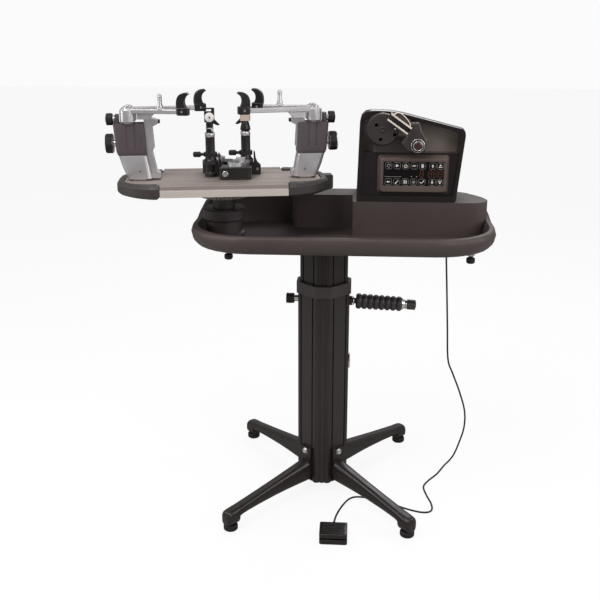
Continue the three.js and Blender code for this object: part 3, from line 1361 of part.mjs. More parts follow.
function tensionCarriage() {
  const low = RECESS_LOW + RUN_GAP;
  const bed = box(CARRIAGE_LEFT, CARRIAGE_RIGHT, RUN_GAP, RECESS_DEPTH - RUN_GAP, low, CARRIAGE_HIGH);
  const tower = box(
    DRUM_X - DRUM_SHAFT_RADIUS,
    DRUM_X + DRUM_SHAFT_RADIUS,
    RUN_GAP,
    RECESS_DEPTH / 2,
    low,
    DRUM_Z + DRUM_SHAFT_RADIUS,
  );
  const nose = rounded([
    [NOSE_X - NOSE_HALF, NOSE_Z, NOSE_HALF_TOP / 2],
    [NOSE_X - NOSE_HALF_TOP, NOSE_LOW, NOSE_HALF_TOP / 2],
    [NOSE_X + NOSE_HALF_TOP, NOSE_LOW, NOSE_HALF_TOP / 2],
    [NOSE_X + NOSE_HALF, NOSE_Z, NOSE_HALF_TOP / 2],
    [NOSE_X + NOSE_HALF_TOP, NOSE_TOP - NOSE_HALF_TOP, NOSE_HALF_TOP / 2],
    [NOSE_X + NOSE_HALF_TOP * 0.8, NOSE_TOP, NOSE_HALF_TOP / 4],
    [NOSE_X - NOSE_HALF_TOP, NOSE_TOP, NOSE_HALF_TOP / 4],
    [NOSE_X - NOSE_HALF_TOP * 1.3, NOSE_Z + NOSE_HALF_TOP, NOSE_HALF_TOP / 4],
  ]);
  const noseBody = frontPlate(nose, -NOSE_DEPTH, -GAP, FOOT_CHAMFER);
  const button = alongY(turned([
    [0, 0],
    [BUTTON_RADIUS, 0],
    [BUTTON_RADIUS, BUTTON_THICK],
    [BUTTON_RADIUS * 0.72, BUTTON_THICK + NOSE_DEPTH / 6],
    [0, BUTTON_THICK + NOSE_DEPTH / 6],
  ], ROUND_STEPS)).rotateZ(180 * DEG).translate(BUTTON_X, -NOSE_DEPTH + FOOT_CHAMFER, BUTTON_Z);
  const neck = box(
    NOSE_X - NOSE_HALF_TOP,
    NOSE_X + NOSE_HALF_TOP,
    -FOOT_CHAMFER * 2,
    RECESS_DEPTH / 2,
    NOSE_LOW + NOSE_HALF_TOP,
    CARRIAGE_HIGH,
  );
  return cut(join(bed, tower, neck, noseBody, button), gripperSeat());
}

// The jaws' place: their back lies just before the drum's front.
function placeJaws(object) {
  object.rotation.y = (GRIPPER_TILT + 90) * DEG;
  object.position.set(GRIPPER_X, -DRUM_FRONT - GAP - GRIPPER_DEPTH, GRIPPER_Z);
  return object;
}

// The pocket in the nose that holds the jaws.
function gripperSeat() {
  const half = GRIPPER_SPLIT / 2 + GRIPPER_PLATE + GAP;
  const length = GRIPPER_LENGTH / 2 + GAP;
  const block = box(-half, half, -OVERRUN, GRIPPER_DEPTH + GAP, -length, length);
  const holder = placeJaws(new THREE.Mesh(block));
  holder.updateMatrix();
  return block.applyMatrix4(holder.matrix);
}

// The slotted string drum on its shaft, facing the operator.
function gripperDrum() {
  const back = DRUM_FRONT - DRUM_THICK;
  const front = alongY(turned([
    [0, 0],
    [DRUM_SHAFT_RADIUS, 0],
    [DRUM_SHAFT_RADIUS, back],
    [DRUM_RADIUS - FOOT_CHAMFER * 2, back],
    [DRUM_RADIUS, back + DRUM_THICK * 0.4],
    [DRUM_RADIUS, back + DRUM_THICK * 0.75],
    [DRUM_RADIUS - FOOT_CHAMFER, DRUM_FRONT],
    [0, DRUM_FRONT],
  ], ROUND_STEPS)).rotateZ(180 * DEG);
  const holes = DRUM_HOLE_TURNS.map((turn, i) => {
    const hole = alongY(disc(DRUM_HOLE_RADIUS, 0, DRUM_FRONT + OVERRUN, PEG_STEPS)).rotateZ(180 * DEG);
    const x = DRUM_HOLE_REACHES[i] * Math.sin(turn * DEG);
    const z = DRUM_HOLE_REACHES[i] * Math.cos(turn * DEG);
    return hole.translate(x, 0, z);
  });
  return cut(front, ...holes);
}

// Two parallel gripping plates on a back plate, open to the front and at both ends.
function gripperJaws() {
  const half = GRIPPER_SPLIT / 2 + GRIPPER_PLATE;
  const inner = GRIPPER_SPLIT / 2;
  const back = GRIPPER_DEPTH - GRIPPER_BACK;
  const outline = [
    V2(-half, 0),
    V2(-inner, 0),
    V2(-inner, back),
    V2(inner, back),
    V2(inner, 0),
    V2(half, 0),
    V2(half, GRIPPER_DEPTH),
    V2(-half, GRIPPER_DEPTH),
  ];
  return prism(outline, -GRIPPER_LENGTH / 2, GRIPPER_LENGTH / 2, 0);
}

function buildConsole() {
  const shelf = groupAt(model, 0, 0, TRAY_RIM + TRAY_BACK_RISE + GAP);
  piece(shelf, "console_shell", consoleShell(), glossBlack);
  piece(shelf, "console_bezel", consoleBezel(), greyPlastic);
  piece(shelf, "control_panel", controlPanel(), glossBlack);
  piece(shelf, "tension_carriage", tensionCarriage(), blackPlastic);
  piece(shelf, "gripper_drum", gripperDrum(), greyPlastic).position.set(DRUM_X, 0, DRUM_Z);
  placeJaws(piece(shelf, "gripper_jaws", gripperJaws(), silver));
}

// Foot pedal

function pedalBase() {
  const rear = PEDAL_HALF_Y - PEDAL_REAR;
  const outline = [
    V2(-PEDAL_HALF_Y, 0),
    V2(PEDAL_HALF_Y, 0),
    V2(PEDAL_HALF_Y, PEDAL_BASE_HEIGHT + PEDAL_LIP),
    V2(rear + PEDAL_CORNER, PEDAL_BASE_HEIGHT + PEDAL_LIP),
    V2(rear, PEDAL_BASE_HEIGHT),
    V2(-PEDAL_HALF_Y, PEDAL_BASE_HEIGHT - PEDAL_GAP),
  ];
  const body = sidePlate(outline, -PEDAL_HALF_X, PEDAL_HALF_X);
  const plan = prism(roundRect(PEDAL_HALF_X, PEDAL_HALF_Y, PEDAL_CORNER), 0, PEDAL_BASE_HEIGHT + OVERRUN);
  const gland = alongY(disc(PEDAL_GLAND_RADIUS, -PEDAL_REAR / 2, PEDAL_GLAND_LENGTH, 12));
  gland.translate(0, PEDAL_HALF_Y, PEDAL_GLAND_RADIUS * 2);
  return join(common(body, plan), gland);
}

function pedalTread() {
  const rear = PEDAL_HALF_Y - PEDAL_REAR;
  const low = PEDAL_BASE_HEIGHT;
  const high = low + PEDAL_TREAD_HEIGHT;
  const outline = rounded([
    [-PEDAL_HALF_Y, low + RUN_GAP],
    [rear - RUN_GAP, low + RUN_GAP],
    [rear + PEDAL_CORNER / 2, low + PEDAL_LIP + RUN_GAP],
    [rear + PEDAL_CORNER, low + PEDAL_LIP + RUN_GAP],
    [PEDAL_HALF_Y, low + PEDAL_LIP + RUN_GAP],
    [PEDAL_HALF_Y, high, PEDAL_CORNER],
    [-PEDAL_HALF_Y, high, PEDAL_CORNER],
  ]);
  const body = sidePlate(outline, -PEDAL_HALF_X, PEDAL_HALF_X);
  const plan = prism(roundRect(PEDAL_HALF_X, PEDAL_HALF_Y, PEDAL_CORNER), 0, high + OVERRUN);
  return common(body, plan);
}

// The pedal's lead: points in order from the tray's gland to the pedal, ends left out.
const CORD_ROUTE = [
  [337, 131, 640],
  [345, 142, 540],
  [353, 150, 430],
  [360, 150, 330],
  [376, 151, 285],
  [398, 152, 230],
  [418, 153, 165],
  [420, 152, 110],
  [408, 150, 60],
  [394, 145, 22],
  [379, 134, 5],
  [362, 108, 2.8],
  [336, 56, 2.8],
  [306, 12, 2.8],
  [291, -22, 2.8],
  [296, -66, 2.8],
  [306, -112, 2.8],
  [303, -146, 2.8],
  [280, -156, 2.8],
  [242, -144, 2.8],
  [190, -116, 2.8],
  [140, -94, 2.8],
  [100, -88, 2.8],
  [78, -102, 2.8],
  [60, -138, 2.8],
  [46, -182, 2.8],
  [40, -222, 5],
];

function cordCurve() {
  const glandEnd = TRAY_BOTTOM - GLAND_LENGTH - GAP;
  const straight = CORD_RADIUS * 8;
  const pedalEnd = PEDAL_Y + PEDAL_HALF_Y + PEDAL_GLAND_LENGTH + GAP;
  const pedalZ = PEDAL_GLAND_RADIUS * 2;
  return new THREE.CatmullRomCurve3([
    V3(GLAND_X, GLAND_Y, glandEnd),
    V3(GLAND_X, GLAND_Y, glandEnd - straight),
    ...CORD_ROUTE.map((point) => V3(...point)),
    V3(PEDAL_X, pedalEnd + CORD_RADIUS * 4, pedalZ),
    V3(PEDAL_X, pedalEnd, pedalZ),
  ]);
}

function pedalCord() {
  const curve = cordCurve();
  const section = [];
  for (let i = 0; i < CORD_SIDES; i += 1) {
    const angle = (FULL * i) / CORD_SIDES;
    section.push(V2(CORD_RADIUS * Math.cos(angle), CORD_RADIUS * Math.sin(angle)));
  }
  const options = { steps: CORD_STEPS, extrudePath: curve, bevelEnabled: false };
  return new THREE.ExtrudeGeometry(new THREE.Shape(section), options);
}

function buildPedal() {
  const pedal = groupAt(model, PEDAL_X, PEDAL_Y, 0);
  piece(pedal, "pedal_base", pedalBase(), blackPlastic);
  piece(pedal, "pedal_tread", pedalTread(), rubber);
  piece(model, "pedal_cord", pedalCord(), rubber);
}

// The floor point under the middle of everything but the lead becomes the origin.
function centreOnFloor() {
  const bounds = new THREE.Box3();
  model.updateMatrixWorld(true);
  model.traverse((object) => {
    if (object.isMesh && object.name !== "pedal_cord") bounds.expandByObject(object, true);
  });
  const middle = bounds.getCenter(V3(0, 0, 0));
  model.position.set(-middle.x, -middle.y, 0);
}

buildStand();
buildHeightLock();
buildTray();
buildTurntable();
buildConsole();
buildPedal();
centreOnFloor();

export default model;
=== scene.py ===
"""Racket stringing machine: finishes, small parts, lead, panel artwork and stage."""

import math

import bmesh
import bpy
from bpy.props import FloatProperty, FloatVectorProperty, PointerProperty
from mathutils import Matrix, Vector


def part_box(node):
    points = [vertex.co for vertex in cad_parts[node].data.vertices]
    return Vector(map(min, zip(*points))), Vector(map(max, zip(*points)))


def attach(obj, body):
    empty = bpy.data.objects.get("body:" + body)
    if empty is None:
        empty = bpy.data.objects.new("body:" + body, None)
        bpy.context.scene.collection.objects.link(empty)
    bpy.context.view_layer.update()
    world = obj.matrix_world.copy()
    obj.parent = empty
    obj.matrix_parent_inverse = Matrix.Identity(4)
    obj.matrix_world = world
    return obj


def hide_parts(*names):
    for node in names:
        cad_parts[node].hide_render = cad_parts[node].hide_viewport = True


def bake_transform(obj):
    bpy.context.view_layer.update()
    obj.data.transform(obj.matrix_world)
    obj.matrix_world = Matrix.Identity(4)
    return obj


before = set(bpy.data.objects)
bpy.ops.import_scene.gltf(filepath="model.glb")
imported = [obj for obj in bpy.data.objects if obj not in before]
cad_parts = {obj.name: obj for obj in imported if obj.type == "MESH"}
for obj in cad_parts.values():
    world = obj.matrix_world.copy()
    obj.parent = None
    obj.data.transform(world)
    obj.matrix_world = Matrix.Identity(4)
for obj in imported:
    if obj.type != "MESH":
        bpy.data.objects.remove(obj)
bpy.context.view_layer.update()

bl_info = {
    "name": "Racket Stringing Machine",
    "version": (1, 0, 0),
    "blender": (4, 5, 0),
    "location": "3D View > Sidebar > Stringer",
    "description": "Dresses the stringing machine: finishes, fasteners, panel, lead and stage",
    "category": "Object",
}

SIDES = ("left", "right")
MM = 0.001
LOCK_Z = 558  # heights of the lock and of the column's clip, in millimetres
CLIP_Z = 380


def middle(node):
    low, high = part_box(node)
    return (low + high) / 2


# Places that everything else is set out from, read from the frame.
COLUMN_AXIS = middle("column_collar")
SPINDLE = middle("turntable_pedestal")
DECK_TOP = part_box("turntable_deck")[1].z
HUB_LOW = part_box("long_arm_left")[0].z
CONSOLE_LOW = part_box("console_shell")[0].z / MM
TABLE_TURN = math.radians(9.7)
TABLE = Matrix.Translation((SPINDLE.x, SPINDLE.y, DECK_TOP)) @ Matrix.Rotation(TABLE_TURN, 4, "Z")

# Places and turns that the frame doesn't hold, in millimetres and degrees.
TOWER_REACH = 207  # from the turntable's middle to a tower
HUB_BACK = -26  # the arms' hubs, from the tower's middle
ARMS = {
    # how far beside the tower's middle an arm's hub is, and the arm's splay
    "long": (20.5, 9), "short": (-20.5, -15),
}
POSTS = {
    # a clamp post's place on the deck, and its turn
    "left": (-31.3, 0.9, 0), "right": (60.0, 22.8, 180),
}
JAWS = (184, -59.3, 206)
JAWS_TILT = 125


def mm(x, y, z):
    """A point or shift given in millimetres."""
    return Vector((x * MM, y * MM, z * MM))


def shifted(x, y, z):
    return Matrix.Translation(mm(x, y, z))


def spun(degrees, axis="Z"):
    return Matrix.Rotation(math.radians(degrees), 4, axis)


def from_column(x, y, z):
    """A point given in millimetres from the foot of the column's axis."""
    return Vector((COLUMN_AXIS.x + x * MM, COLUMN_AXIS.y + y * MM, z * MM))


def tower_place(side):
    """The frame of one tower: +X looks to the turntable's middle, the deck is at 0."""
    return TABLE @ spun(0 if side == "left" else 180) @ shifted(-TOWER_REACH, 0, 0)


def post_place(side):
    """The frame of one clamp's head on its post's axis: the dial looks along -Y."""
    x, y, turn = POSTS[side]
    return TABLE @ shifted(x, y, 0) @ spun(turn)


def arm_place(side, kind):
    """The frame of one swing arm: it reaches along +X, its hub's underside is at 0."""
    beside, splay = ARMS[kind]
    lift = (HUB_LOW - DECK_TOP) / MM
    return tower_place(side) @ shifted(HUB_BACK, beside, lift) @ spun(splay)


def console_point(x, y, z):
    """A point on the console, its height taken from the console's underside."""
    return from_column(x, y, CONSOLE_LOW + z)


def jaws_place():
    """The frame of the gripper: Z runs along the jaws, their open front looks along -Y."""
    return Matrix.Translation(console_point(*JAWS)) @ spun(JAWS_TILT, "Y")


def facing(point, direction):
    """A place whose Z looks along a direction."""
    turn = Vector(direction).to_track_quat("Z", "Y").to_matrix().to_4x4()
    return Matrix.Translation(point) @ turn


def on(place, point, direction):
    """A place at a point of another one, in millimetres, whose Z looks along its direction."""
    return facing(place @ mm(*point), place.to_3x3() @ Vector(direction))


def paint(code):
    """A hex colour as the linear values that the shaders take."""
    values = [int(code[i:i + 2], 16) / 255 for i in (1, 3, 5)]
    return tuple(v / 12.92 if v <= 0.04045 else ((v + 0.055) / 1.055) ** 2.4 for v in values)


# Sizes and colours that a user would change

def size_setting(name, description, default, least=1 * MM):
    return FloatProperty(name=name, description=description, default=default, min=least,
                         unit="LENGTH")


def power_setting(name, description, default):
    return FloatProperty(name=name, description=description, default=default, min=0, unit="POWER")


def colour_setting(name, description, code):
    return FloatVectorProperty(name=name, description=description, default=paint(code),
                               subtype="COLOR", min=0, max=1)


class StringerSizes(bpy.types.PropertyGroup):
    """Sizes of the small parts."""

    edge: size_setting("Edge Radius", "Rounding of the carried parts' edges", 0.0008, 0)
    lead: size_setting("Lead Diameter", "Diameter of the pedal's lead", 0.005)
    icon: size_setting("Icon Size", "Outer size of a key's outline on the panel", 0.016)
    digit: size_setting("Digit Height", "Height of the display's digits", 0.0165)
    line: size_setting("Line Width", "Width of the printed lines", 0.001, 0.1 * MM)
    leg_bolt: size_setting("Leg Bolt Radius", "Head radius of the legs' bolts", 0.0065)


class StringerColours(bpy.types.PropertyGroup):
    """Base colours of the finishes."""

    extrusion: colour_setting("Column", "Black anodised column", "#2a2021")
    casting: colour_setting("Legs", "Powder-coated legs", "#1f1617")
    tray: colour_setting("Tray", "Moulded tray", "#453a38")
    deck: colour_setting("Deck", "Anodised turntable deck", "#a0958f")
    housing: colour_setting("Housings", "Grey moulded tower housings", "#50464a")
    silver: colour_setting("Castings", "Silver cast arms and tower bases", "#d0cdcf")
    deck_edge: colour_setting("Deck Edge", "Bright machined band of the deck", "#dcd2ca")
    bezel: colour_setting("Bezel", "Frame round the panel", "#5a4c48")
    gloss: colour_setting("Console", "Gloss black console and pedal", "#1e1718")
    moulding: colour_setting("Black Mouldings", "Plain black plastic parts", "#211a1b")
    soft: colour_setting("Rubber", "Knobs, feet, grips and lead", "#1e191a")
    print_white: colour_setting("Printing", "White printing on the panel", "#e4e0dc")
    display: colour_setting("Display", "Dull amber digits", "#4e281c")


class StringerStage(bpy.types.PropertyGroup):
    """Camera, lamps and floor."""

    lens: FloatProperty(name="Lens", description="Focal length of the camera",
                        default=51.22, min=10, unit="CAMERA")
    floor: size_setting("Floor Size", "Side of the square floor", 30.0, 2)
    key: power_setting("Key Lamp", "Power of the large lamp over the machine", 42.0)
    fill: power_setting("Fill Lamps", "Power of the lamps beside the camera and behind", 16.0)
    side: power_setting("Side Lamps", "Power of the two lamps at the sides", 11.0)
    world: FloatProperty(name="Surroundings", description="Strength of the pale surroundings",
                         default=0.62, min=0)


# Finishes

def set_inputs(tree, node, inputs):
    """Sets a node's inputs, each to a value or to another node's output."""
    for key, value in inputs.items():
        if isinstance(value, bpy.types.NodeSocket):
            tree.links.new(value, node.inputs[key])
        else:
            node.inputs[key].default_value = value


def shader_node(tree, kind, inputs=None, **settings):
    """A new node with its settings and inputs."""
    made = tree.nodes.new("ShaderNode" + kind)
    for name, value in settings.items():
        setattr(made, name, value)
    set_inputs(tree, made, inputs or {})
    return made


def noise(tree, vector, size, detail):
    """Uneven grey whose lumps are about as large as a size in millimetres."""
    inputs = {"Vector": vector, "Scale": 1 / (size * MM), "Detail": detail}
    return shader_node(tree, "TexNoise", inputs).outputs["Fac"]


def ramp(tree, value, *stops):
    """A colour between two stops, each a position and its colour."""
    made = shader_node(tree, "ValToRGB", {"Fac": value})
    for element, (position, colour) in zip(made.color_ramp.elements, stops):
        element.position = position
        element.color = (*colour, 1)
    return made.outputs["Color"]


def mapped(tree, value, low, high, **ends):
    """A value taken from between low and high to between 0 and 1, or between the ends given."""
    inputs = {"Value": value, "From Min": low, "From Max": high}
    inputs.update({f"To {end.title()}": at for end, at in ends.items()})
    return shader_node(tree, "MapRange", inputs).outputs["Result"]


def mixed(tree, factor, first, second, **settings):
    """A mix of two colours, which are the node's inputs 6 and 7 and its output 2."""
    inputs = {"Factor": factor, 6: first, 7: second}
    return shader_node(tree, "Mix", inputs, data_type="RGBA", **settings).outputs[2]


def mixed_shader(tree, factor, first, second):
    """A mix of two shaders."""
    inputs = {"Fac": factor, 1: first, 2: second}
    return shader_node(tree, "MixShader", inputs).outputs["Shader"]


WORN_FROM, WORN_FULLY = 0.52, 0.62  # how pointed an edge is where its wear starts and is full
COAT_ROUGHNESS = 0.08


def finish(name, colour, roughness, metallic, mottle, mottle_size, grain, grain_size, depth, worn,
           stretch=(1, 1, 1), turn=0.0, spread=0.08, coat=0.0, specular=0.5, glow=0.0):
    """A finish with uneven colour, uneven sheen, a fine grain and slightly worn edges."""
    made = bpy.data.materials.get(name)
    if made:
        return made
    made = bpy.data.materials.new(name)
    made.use_nodes = True
    made.diffuse_color = (*colour, 1)
    tree = made.node_tree
    place = shader_node(tree, "TexCoord").outputs["Object"]
    drawn_out = shader_node(tree, "Mapping",
                            {"Vector": place, "Rotation": (0, 0, -turn), "Scale": stretch})
    cloud = noise(tree, place, mottle_size, 5)
    fine = noise(tree, drawn_out.outputs["Vector"], grain_size, 3)
    tone = ramp(tree, cloud, (0.3, [c * (1 - mottle) for c in colour]),
                (0.7, [min(1, c * (1 + mottle)) for c in colour]))
    speckled = mixed(tree, grain, tone, fine, blend_type="OVERLAY")
    pointed = shader_node(tree, "NewGeometry").outputs["Pointiness"]
    pale = [min(1, c * 1.5 + 0.035) for c in colour]
    wear = mapped(tree, pointed, WORN_FROM, WORN_FULLY, max=worn)
    scuffed = mixed(tree, wear, speckled, (*pale, 1))
    sheen = mapped(tree, cloud, 0.25, 0.75, min=max(0.04, roughness - spread),
                   max=min(1, roughness + spread))
    bump = shader_node(tree, "Bump", {"Height": fine, "Strength": grain, "Distance": depth * MM})
    shader = tree.nodes["Principled BSDF"]
    set_inputs(tree, shader, {
        "Base Color": scuffed, "Metallic": metallic, "Roughness": sheen,
        "Specular IOR Level": specular, "Coat Weight": coat, "Coat Roughness": COAT_ROUGHNESS,
        "Normal": bump.outputs["Normal"],
    })
    if glow:
        set_inputs(tree, shader, {"Emission Color": (*colour, 1), "Emission Strength": glow})
    return made


FINISHES = {
    # the material's name, its colour as a setting or a code, roughness, metallic, unevenness of
    # the colour and its size, strength of the grain, its size and its depth, wear of the edges,
    # and what else it has; sizes and depths are in millimetres
    "cap": ("end_cap_moulding", "#383031", 0.48, 0, 0.08, 60, 0.4, 0.8, 0.2, 0.2),
    "extrusion": ("black_extrusion", "extrusion", 0.36, 0.25, 0.1, 60, 0.3, 1.2, 0.4, 0.35,
                  dict(stretch=(1, 1, 0.012))),
    "casting": ("black_powder_coat", "casting", 0.3, 0, 0.12, 60, 0.2, 1.1, 0.2, 0.1),
    "tray": ("tray_moulding", "tray", 0.55, 0, 0.07, 160, 0.5, 0.9, 0.3, 0.2),
    "deck": ("brushed_deck", "deck", 0.46, 0.55, 0.02, 250, 0.04, 1.4, 0.03, 0.1,
             dict(stretch=(0.008, 1, 1), turn=TABLE_TURN)),
    "deck_edge": ("machined_deck_edge", "deck_edge", 0.42, 0.5, 0.02, 200, 0.02, 3, 0.01, 0.02,
                  dict(stretch=(0.01, 1, 1), turn=TABLE_TURN)),
    "housing": ("grey_moulding", "housing", 0.5, 0, 0.07, 60, 0.4, 0.8, 0.2, 0.25),
    "silver": ("silver_casting", "silver", 0.33, 0.75, 0.05, 50, 0.05, 2, 0.03, 0.03),
    "bright": ("bright_steel", "#d9d8d6", 0.16, 1, 0.05, 60, 0.12, 0.8, 0.4, 0.1,
               dict(stretch=(1, 1, 0.05))),
    "bezel": ("bezel_moulding", "bezel", 0.38, 0, 0.06, 60, 0.3, 0.8, 0.2, 0.3),
    "gloss": ("gloss_console", "gloss", 0.2, 0, 0.1, 60, 0.03, 2, 0.1, 0.1,
              dict(spread=0.06, coat=0.12, specular=0.4)),
    # painted reflection: the recess's back wall is gloss black like the console, and this pale
    # brown with large blotches stands in for the lamps' reflection on it
    "recess": ("recess_wall", "#9c8e85", 0.34, 0, 0.3, 140, 0.04, 1.6, 0.1, 0.1,
               dict(spread=0.06, specular=0.6)),
    "panel": ("panel_film", "#0c0809", 0.34, 0, 0.08, 60, 0.1, 1.2, 0.1, 0.05,
              dict(spread=0.04, specular=0.14)),
    "moulding": ("black_moulding", "moulding", 0.44, 0, 0.1, 60, 0.35, 0.9, 0.2, 0.3),
    "claw": ("satin_black_claw", "#191415", 0.24, 0, 0.1, 60, 0.15, 1, 0.2, 0.4),
    "rubber": ("soft_rubber", "soft", 0.66, 0, 0.12, 20, 0.5, 0.7, 0.3, 0.2, dict(specular=0.35)),
    "grip": ("ribbed_grip", "#373233", 0.4, 0, 0.1, 60, 0.4, 0.8, 0.3, 0.3),
    "drum": ("dark_drum", "#3b3333", 0.34, 0.2, 0.1, 60, 0.25, 0.7, 0.2, 0.4),
    "dark_silver": ("dark_silver_casting", "#7d7f86", 0.36, 0.5, 0.1, 30, 0.08, 0.9, 0.03, 0.1),
    "smoked": ("smoked_plate", "#4a3f3c", 0.2, 0.3, 0.12, 12, 0.06, 1.6, 0.1, 0.2,
               dict(spread=0.05, coat=0.4)),
    "maroon": ("maroon_button", "#3a1a1c", 0.2, 0, 0.1, 6, 0.06, 1.6, 0.1, 0.1,
               dict(spread=0.05, coat=0.5)),
    "knurl": ("knurled_ring", "#8a807c", 0.36, 0.5, 0.12, 20, 0.2, 0.8, 0.1, 0.5),
    "beige": ("beige_moulding", "#cbb9ab", 0.45, 0, 0.08, 10, 0.3, 0.6, 0.1, 0.2),
    "dial": ("white_dial", "#efedea", 0.35, 0, 0.04, 10, 0.12, 0.6, 0.1, 0),
    "outline": ("grey_printing", "#8b8581", 0.5, 0, 0.06, 4, 0.1, 0.6, 0.4, 0),
    "print": ("white_printing", "print_white", 0.5, 0, 0.05, 4, 0.1, 0.6, 0.4, 0),
    "cream": ("cream_insert", "#f1e4d4", 0.26, 0.25, 0.08, 10, 0.1, 1.6, 0.4, 0.1),
    "lamp": ("amber_segments", "display", 0.4, 0, 0.15, 4, 0.1, 1.6, 0.4, 0, dict(glow=0.12)),
}


def finishes(scene):
    """Every finish of the machine, by a plain name."""
    made = {}
    for key, (name, colour, *values) in FINISHES.items():
        more = values.pop() if isinstance(values[-1], dict) else {}
        base = paint(colour) if colour[0] == "#" else getattr(scene.stringer_colours, colour)
        made[key] = finish(name, base, *values, **more)
    return made


# Mesh helpers


def add_piece(name, data, finish_name, body, edge=0.0, smooth=True):
    """Puts a mesh, a list of them or a curve in the scene as a piece that rides on a body.

    Its sharp edges are rounded by a width in millimetres, if one is given.
    """
    if isinstance(data, list):
        data = together(data)
    data.name = name
    made = bpy.data.objects.new(name, data)
    bpy.context.scene.collection.objects.link(made)
    data.materials.append(finishes(bpy.context.scene)[finish_name])
    if smooth and made.type == "MESH":
        data.polygons.foreach_set("use_smooth", [True] * len(data.polygons))
    if edge:
        soften(made, edge * MM)
    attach(made, body)
    return made


def soften(piece, width):
    """Rounds the sharp edges and joins flat faces, except where one runs round an opening."""
    weld = piece.modifiers.new("Weld", "WELD")
    weld.merge_threshold = 1e-6
    if not piece.name.startswith(KEPT_FACETS):
        flat = piece.modifiers.new("Flat Faces", "DECIMATE")
        flat.decimate_type = "DISSOLVE"
        flat.angle_limit = math.radians(0.6)
        flat.delimit = {"MATERIAL"}
    bevel = piece.modifiers.new("Edges", "BEVEL")
    bevel.width = width
    bevel.segments = 2
    bevel.limit_method = "ANGLE"
    bevel.angle_limit = math.radians(38)
    normals = piece.modifiers.new("Normals", "WEIGHTED_NORMAL")
    normals.keep_sharp = True


def seen_from(place, node):
    """A carried part's mesh, and the matrix that takes it to a piece's own frame."""
    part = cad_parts[node]
    return part.data, place.inverted() @ part.matrix_world


def local_box(node, place):
    """The corners of a carried part in a piece's own frame, in millimetres."""
    mesh, back = seen_from(place, node)
    spots = [back @ v.co / MM for v in mesh.vertices]
    return (Vector([min(p[i] for p in spots) for i in range(3)]),
            Vector([max(p[i] for p in spots) for i in range(3)]))


def second_finish(node, finish_name, place, inside):
    """Another finish on the faces of a carried part that a test picks out, in millimetres."""
    mesh, back = seen_from(place, node)
    turn = back.to_3x3()
    mesh.materials.append(finishes(bpy.context.scene)[finish_name])
    index = len(mesh.materials) - 1
    for face in mesh.polygons:
        if inside(back @ face.center / MM, turn @ face.normal):
            face.material_index = index


def loft(rings, place, hollow=False):
    """A skin over rings of points in millimetres: closed on itself if hollow, else with ends."""
    steps, count = len(rings[0]), len(rings)
    faces = []
    for ring in range(count if hollow else count - 1):
        here, there = ring * steps, (ring + 1) % count * steps
        for i in range(steps):
            after = (i + 1) % steps
            faces.append((here + i, here + after, there + after, there + i))
    if not hollow:
        faces.append(tuple(range(steps))[::-1])
        faces.append(tuple(range((count - 1) * steps, count * steps)))
    mesh = bpy.data.meshes.new("part")
    mesh.from_pydata([(x * MM, y * MM, z * MM) for ring in rings for x, y, z in ring], [], faces)
    body = bmesh.new()
    body.from_mesh(mesh)
    bmesh.ops.remove_doubles(body, verts=body.verts, dist=1e-7)
    bmesh.ops.recalc_face_normals(body, faces=body.faces)
    body.to_mesh(mesh)
    body.free()
    mesh.transform(place)
    mesh.update()
    return mesh


def arc(cx, cy, radius, start, end, steps=10):
    """Points round a middle, from one angle to another in degrees, both ends kept."""
    turns = [math.radians(start + (end - start) * i / steps) for i in range(steps + 1)]
    return [(cx + radius * math.cos(a), cy + radius * math.sin(a)) for a in turns]


def circle(radius, steps):
    return arc(0, 0, radius, 0, 360, steps)[:-1]


def turned(profile, steps, place, hollow=False):
    """A profile of (radius, height) in millimetres turned about Z, closed on itself if hollow."""
    return loft([[(x, y, height) for x, y in circle(radius, steps)] for radius, height in profile],
                place, hollow)


def band_ring(inner, outer, low, high, place, steps=40, chamfer=0.5):
    """A flat ring with chamfered outer corners."""
    profile = [(inner, low), (outer - chamfer, low), (outer, low + chamfer),
               (outer, high - chamfer), (outer - chamfer, high), (inner, high)]
    return turned(profile, steps, place, hollow=True)


def ribbed_sleeve(bore, start, end, pitch, ribs, place, steps):
    """A sleeve with round ribs, each given by its points' radii and reaches."""
    profile = [(bore, start)]
    for reach in pitch:
        profile += [(radius, reach + along) for radius, along in ribs]
    return turned(profile + [(bore, end)], steps, place, hollow=True)


def domed(radius, height, place):
    """A low dome with a plain rim."""
    rim = 0.35  # of the height
    profile = [(radius, 0), (radius, height * rim)]
    profile += [(radius * c, height * (rim + (1 - rim) * s)) for c, s in arc(0, 0, 1, 15, 75, 4)]
    return turned(profile, 32, place)


def raised(outline, low, high, place):
    """An outline in millimetres, raised from low to high."""
    return loft([[(x, y, z) for x, y in outline] for z in (low, high)], place)


def round_corners(half_x, half_y, radius, steps):
    """The outline of a rectangle with round corners."""
    outline = []
    for quarter, (sx, sy) in enumerate(((1, 1), (-1, 1), (-1, -1), (1, -1))):
        outline += arc(sx * (half_x - radius), sy * (half_y - radius), radius,
                       quarter * 90, quarter * 90 + 90, steps)
    return outline


def bezier(*corners):
    """Points along a curve from the first to the last of four corners."""
    spots, steps = [], 8
    for i in range(steps + 1):
        t = i / steps
        shares = ((1 - t) ** 3, 3 * t * (1 - t) ** 2, 3 * t * t * (1 - t), t ** 3)
        spots.append(tuple(sum(s * c[k] for s, c in zip(shares, corners)) for k in range(2)))
    return spots


def together(meshes):
    """One mesh out of several."""
    body = bmesh.new()
    for mesh in meshes:
        body.from_mesh(mesh)
        bpy.data.meshes.remove(mesh)
    made = bpy.data.meshes.new("part")
    body.to_mesh(made)
    body.free()
    return made


def wire(points, radius, kind, resolution):
    """A round wire through points, as a curve."""
    curve = bpy.data.curves.new("wire", "CURVE")
    curve.dimensions = "3D"
    curve.bevel_depth = radius
    curve.bevel_resolution = resolution
    curve.use_fill_caps = True
    spline = curve.splines.new(kind)
    spline.points.add(len(points) - 1)
    for spot, point in zip(spline.points, points):
        spot.co = (*point, 1)
    return curve


# Stage

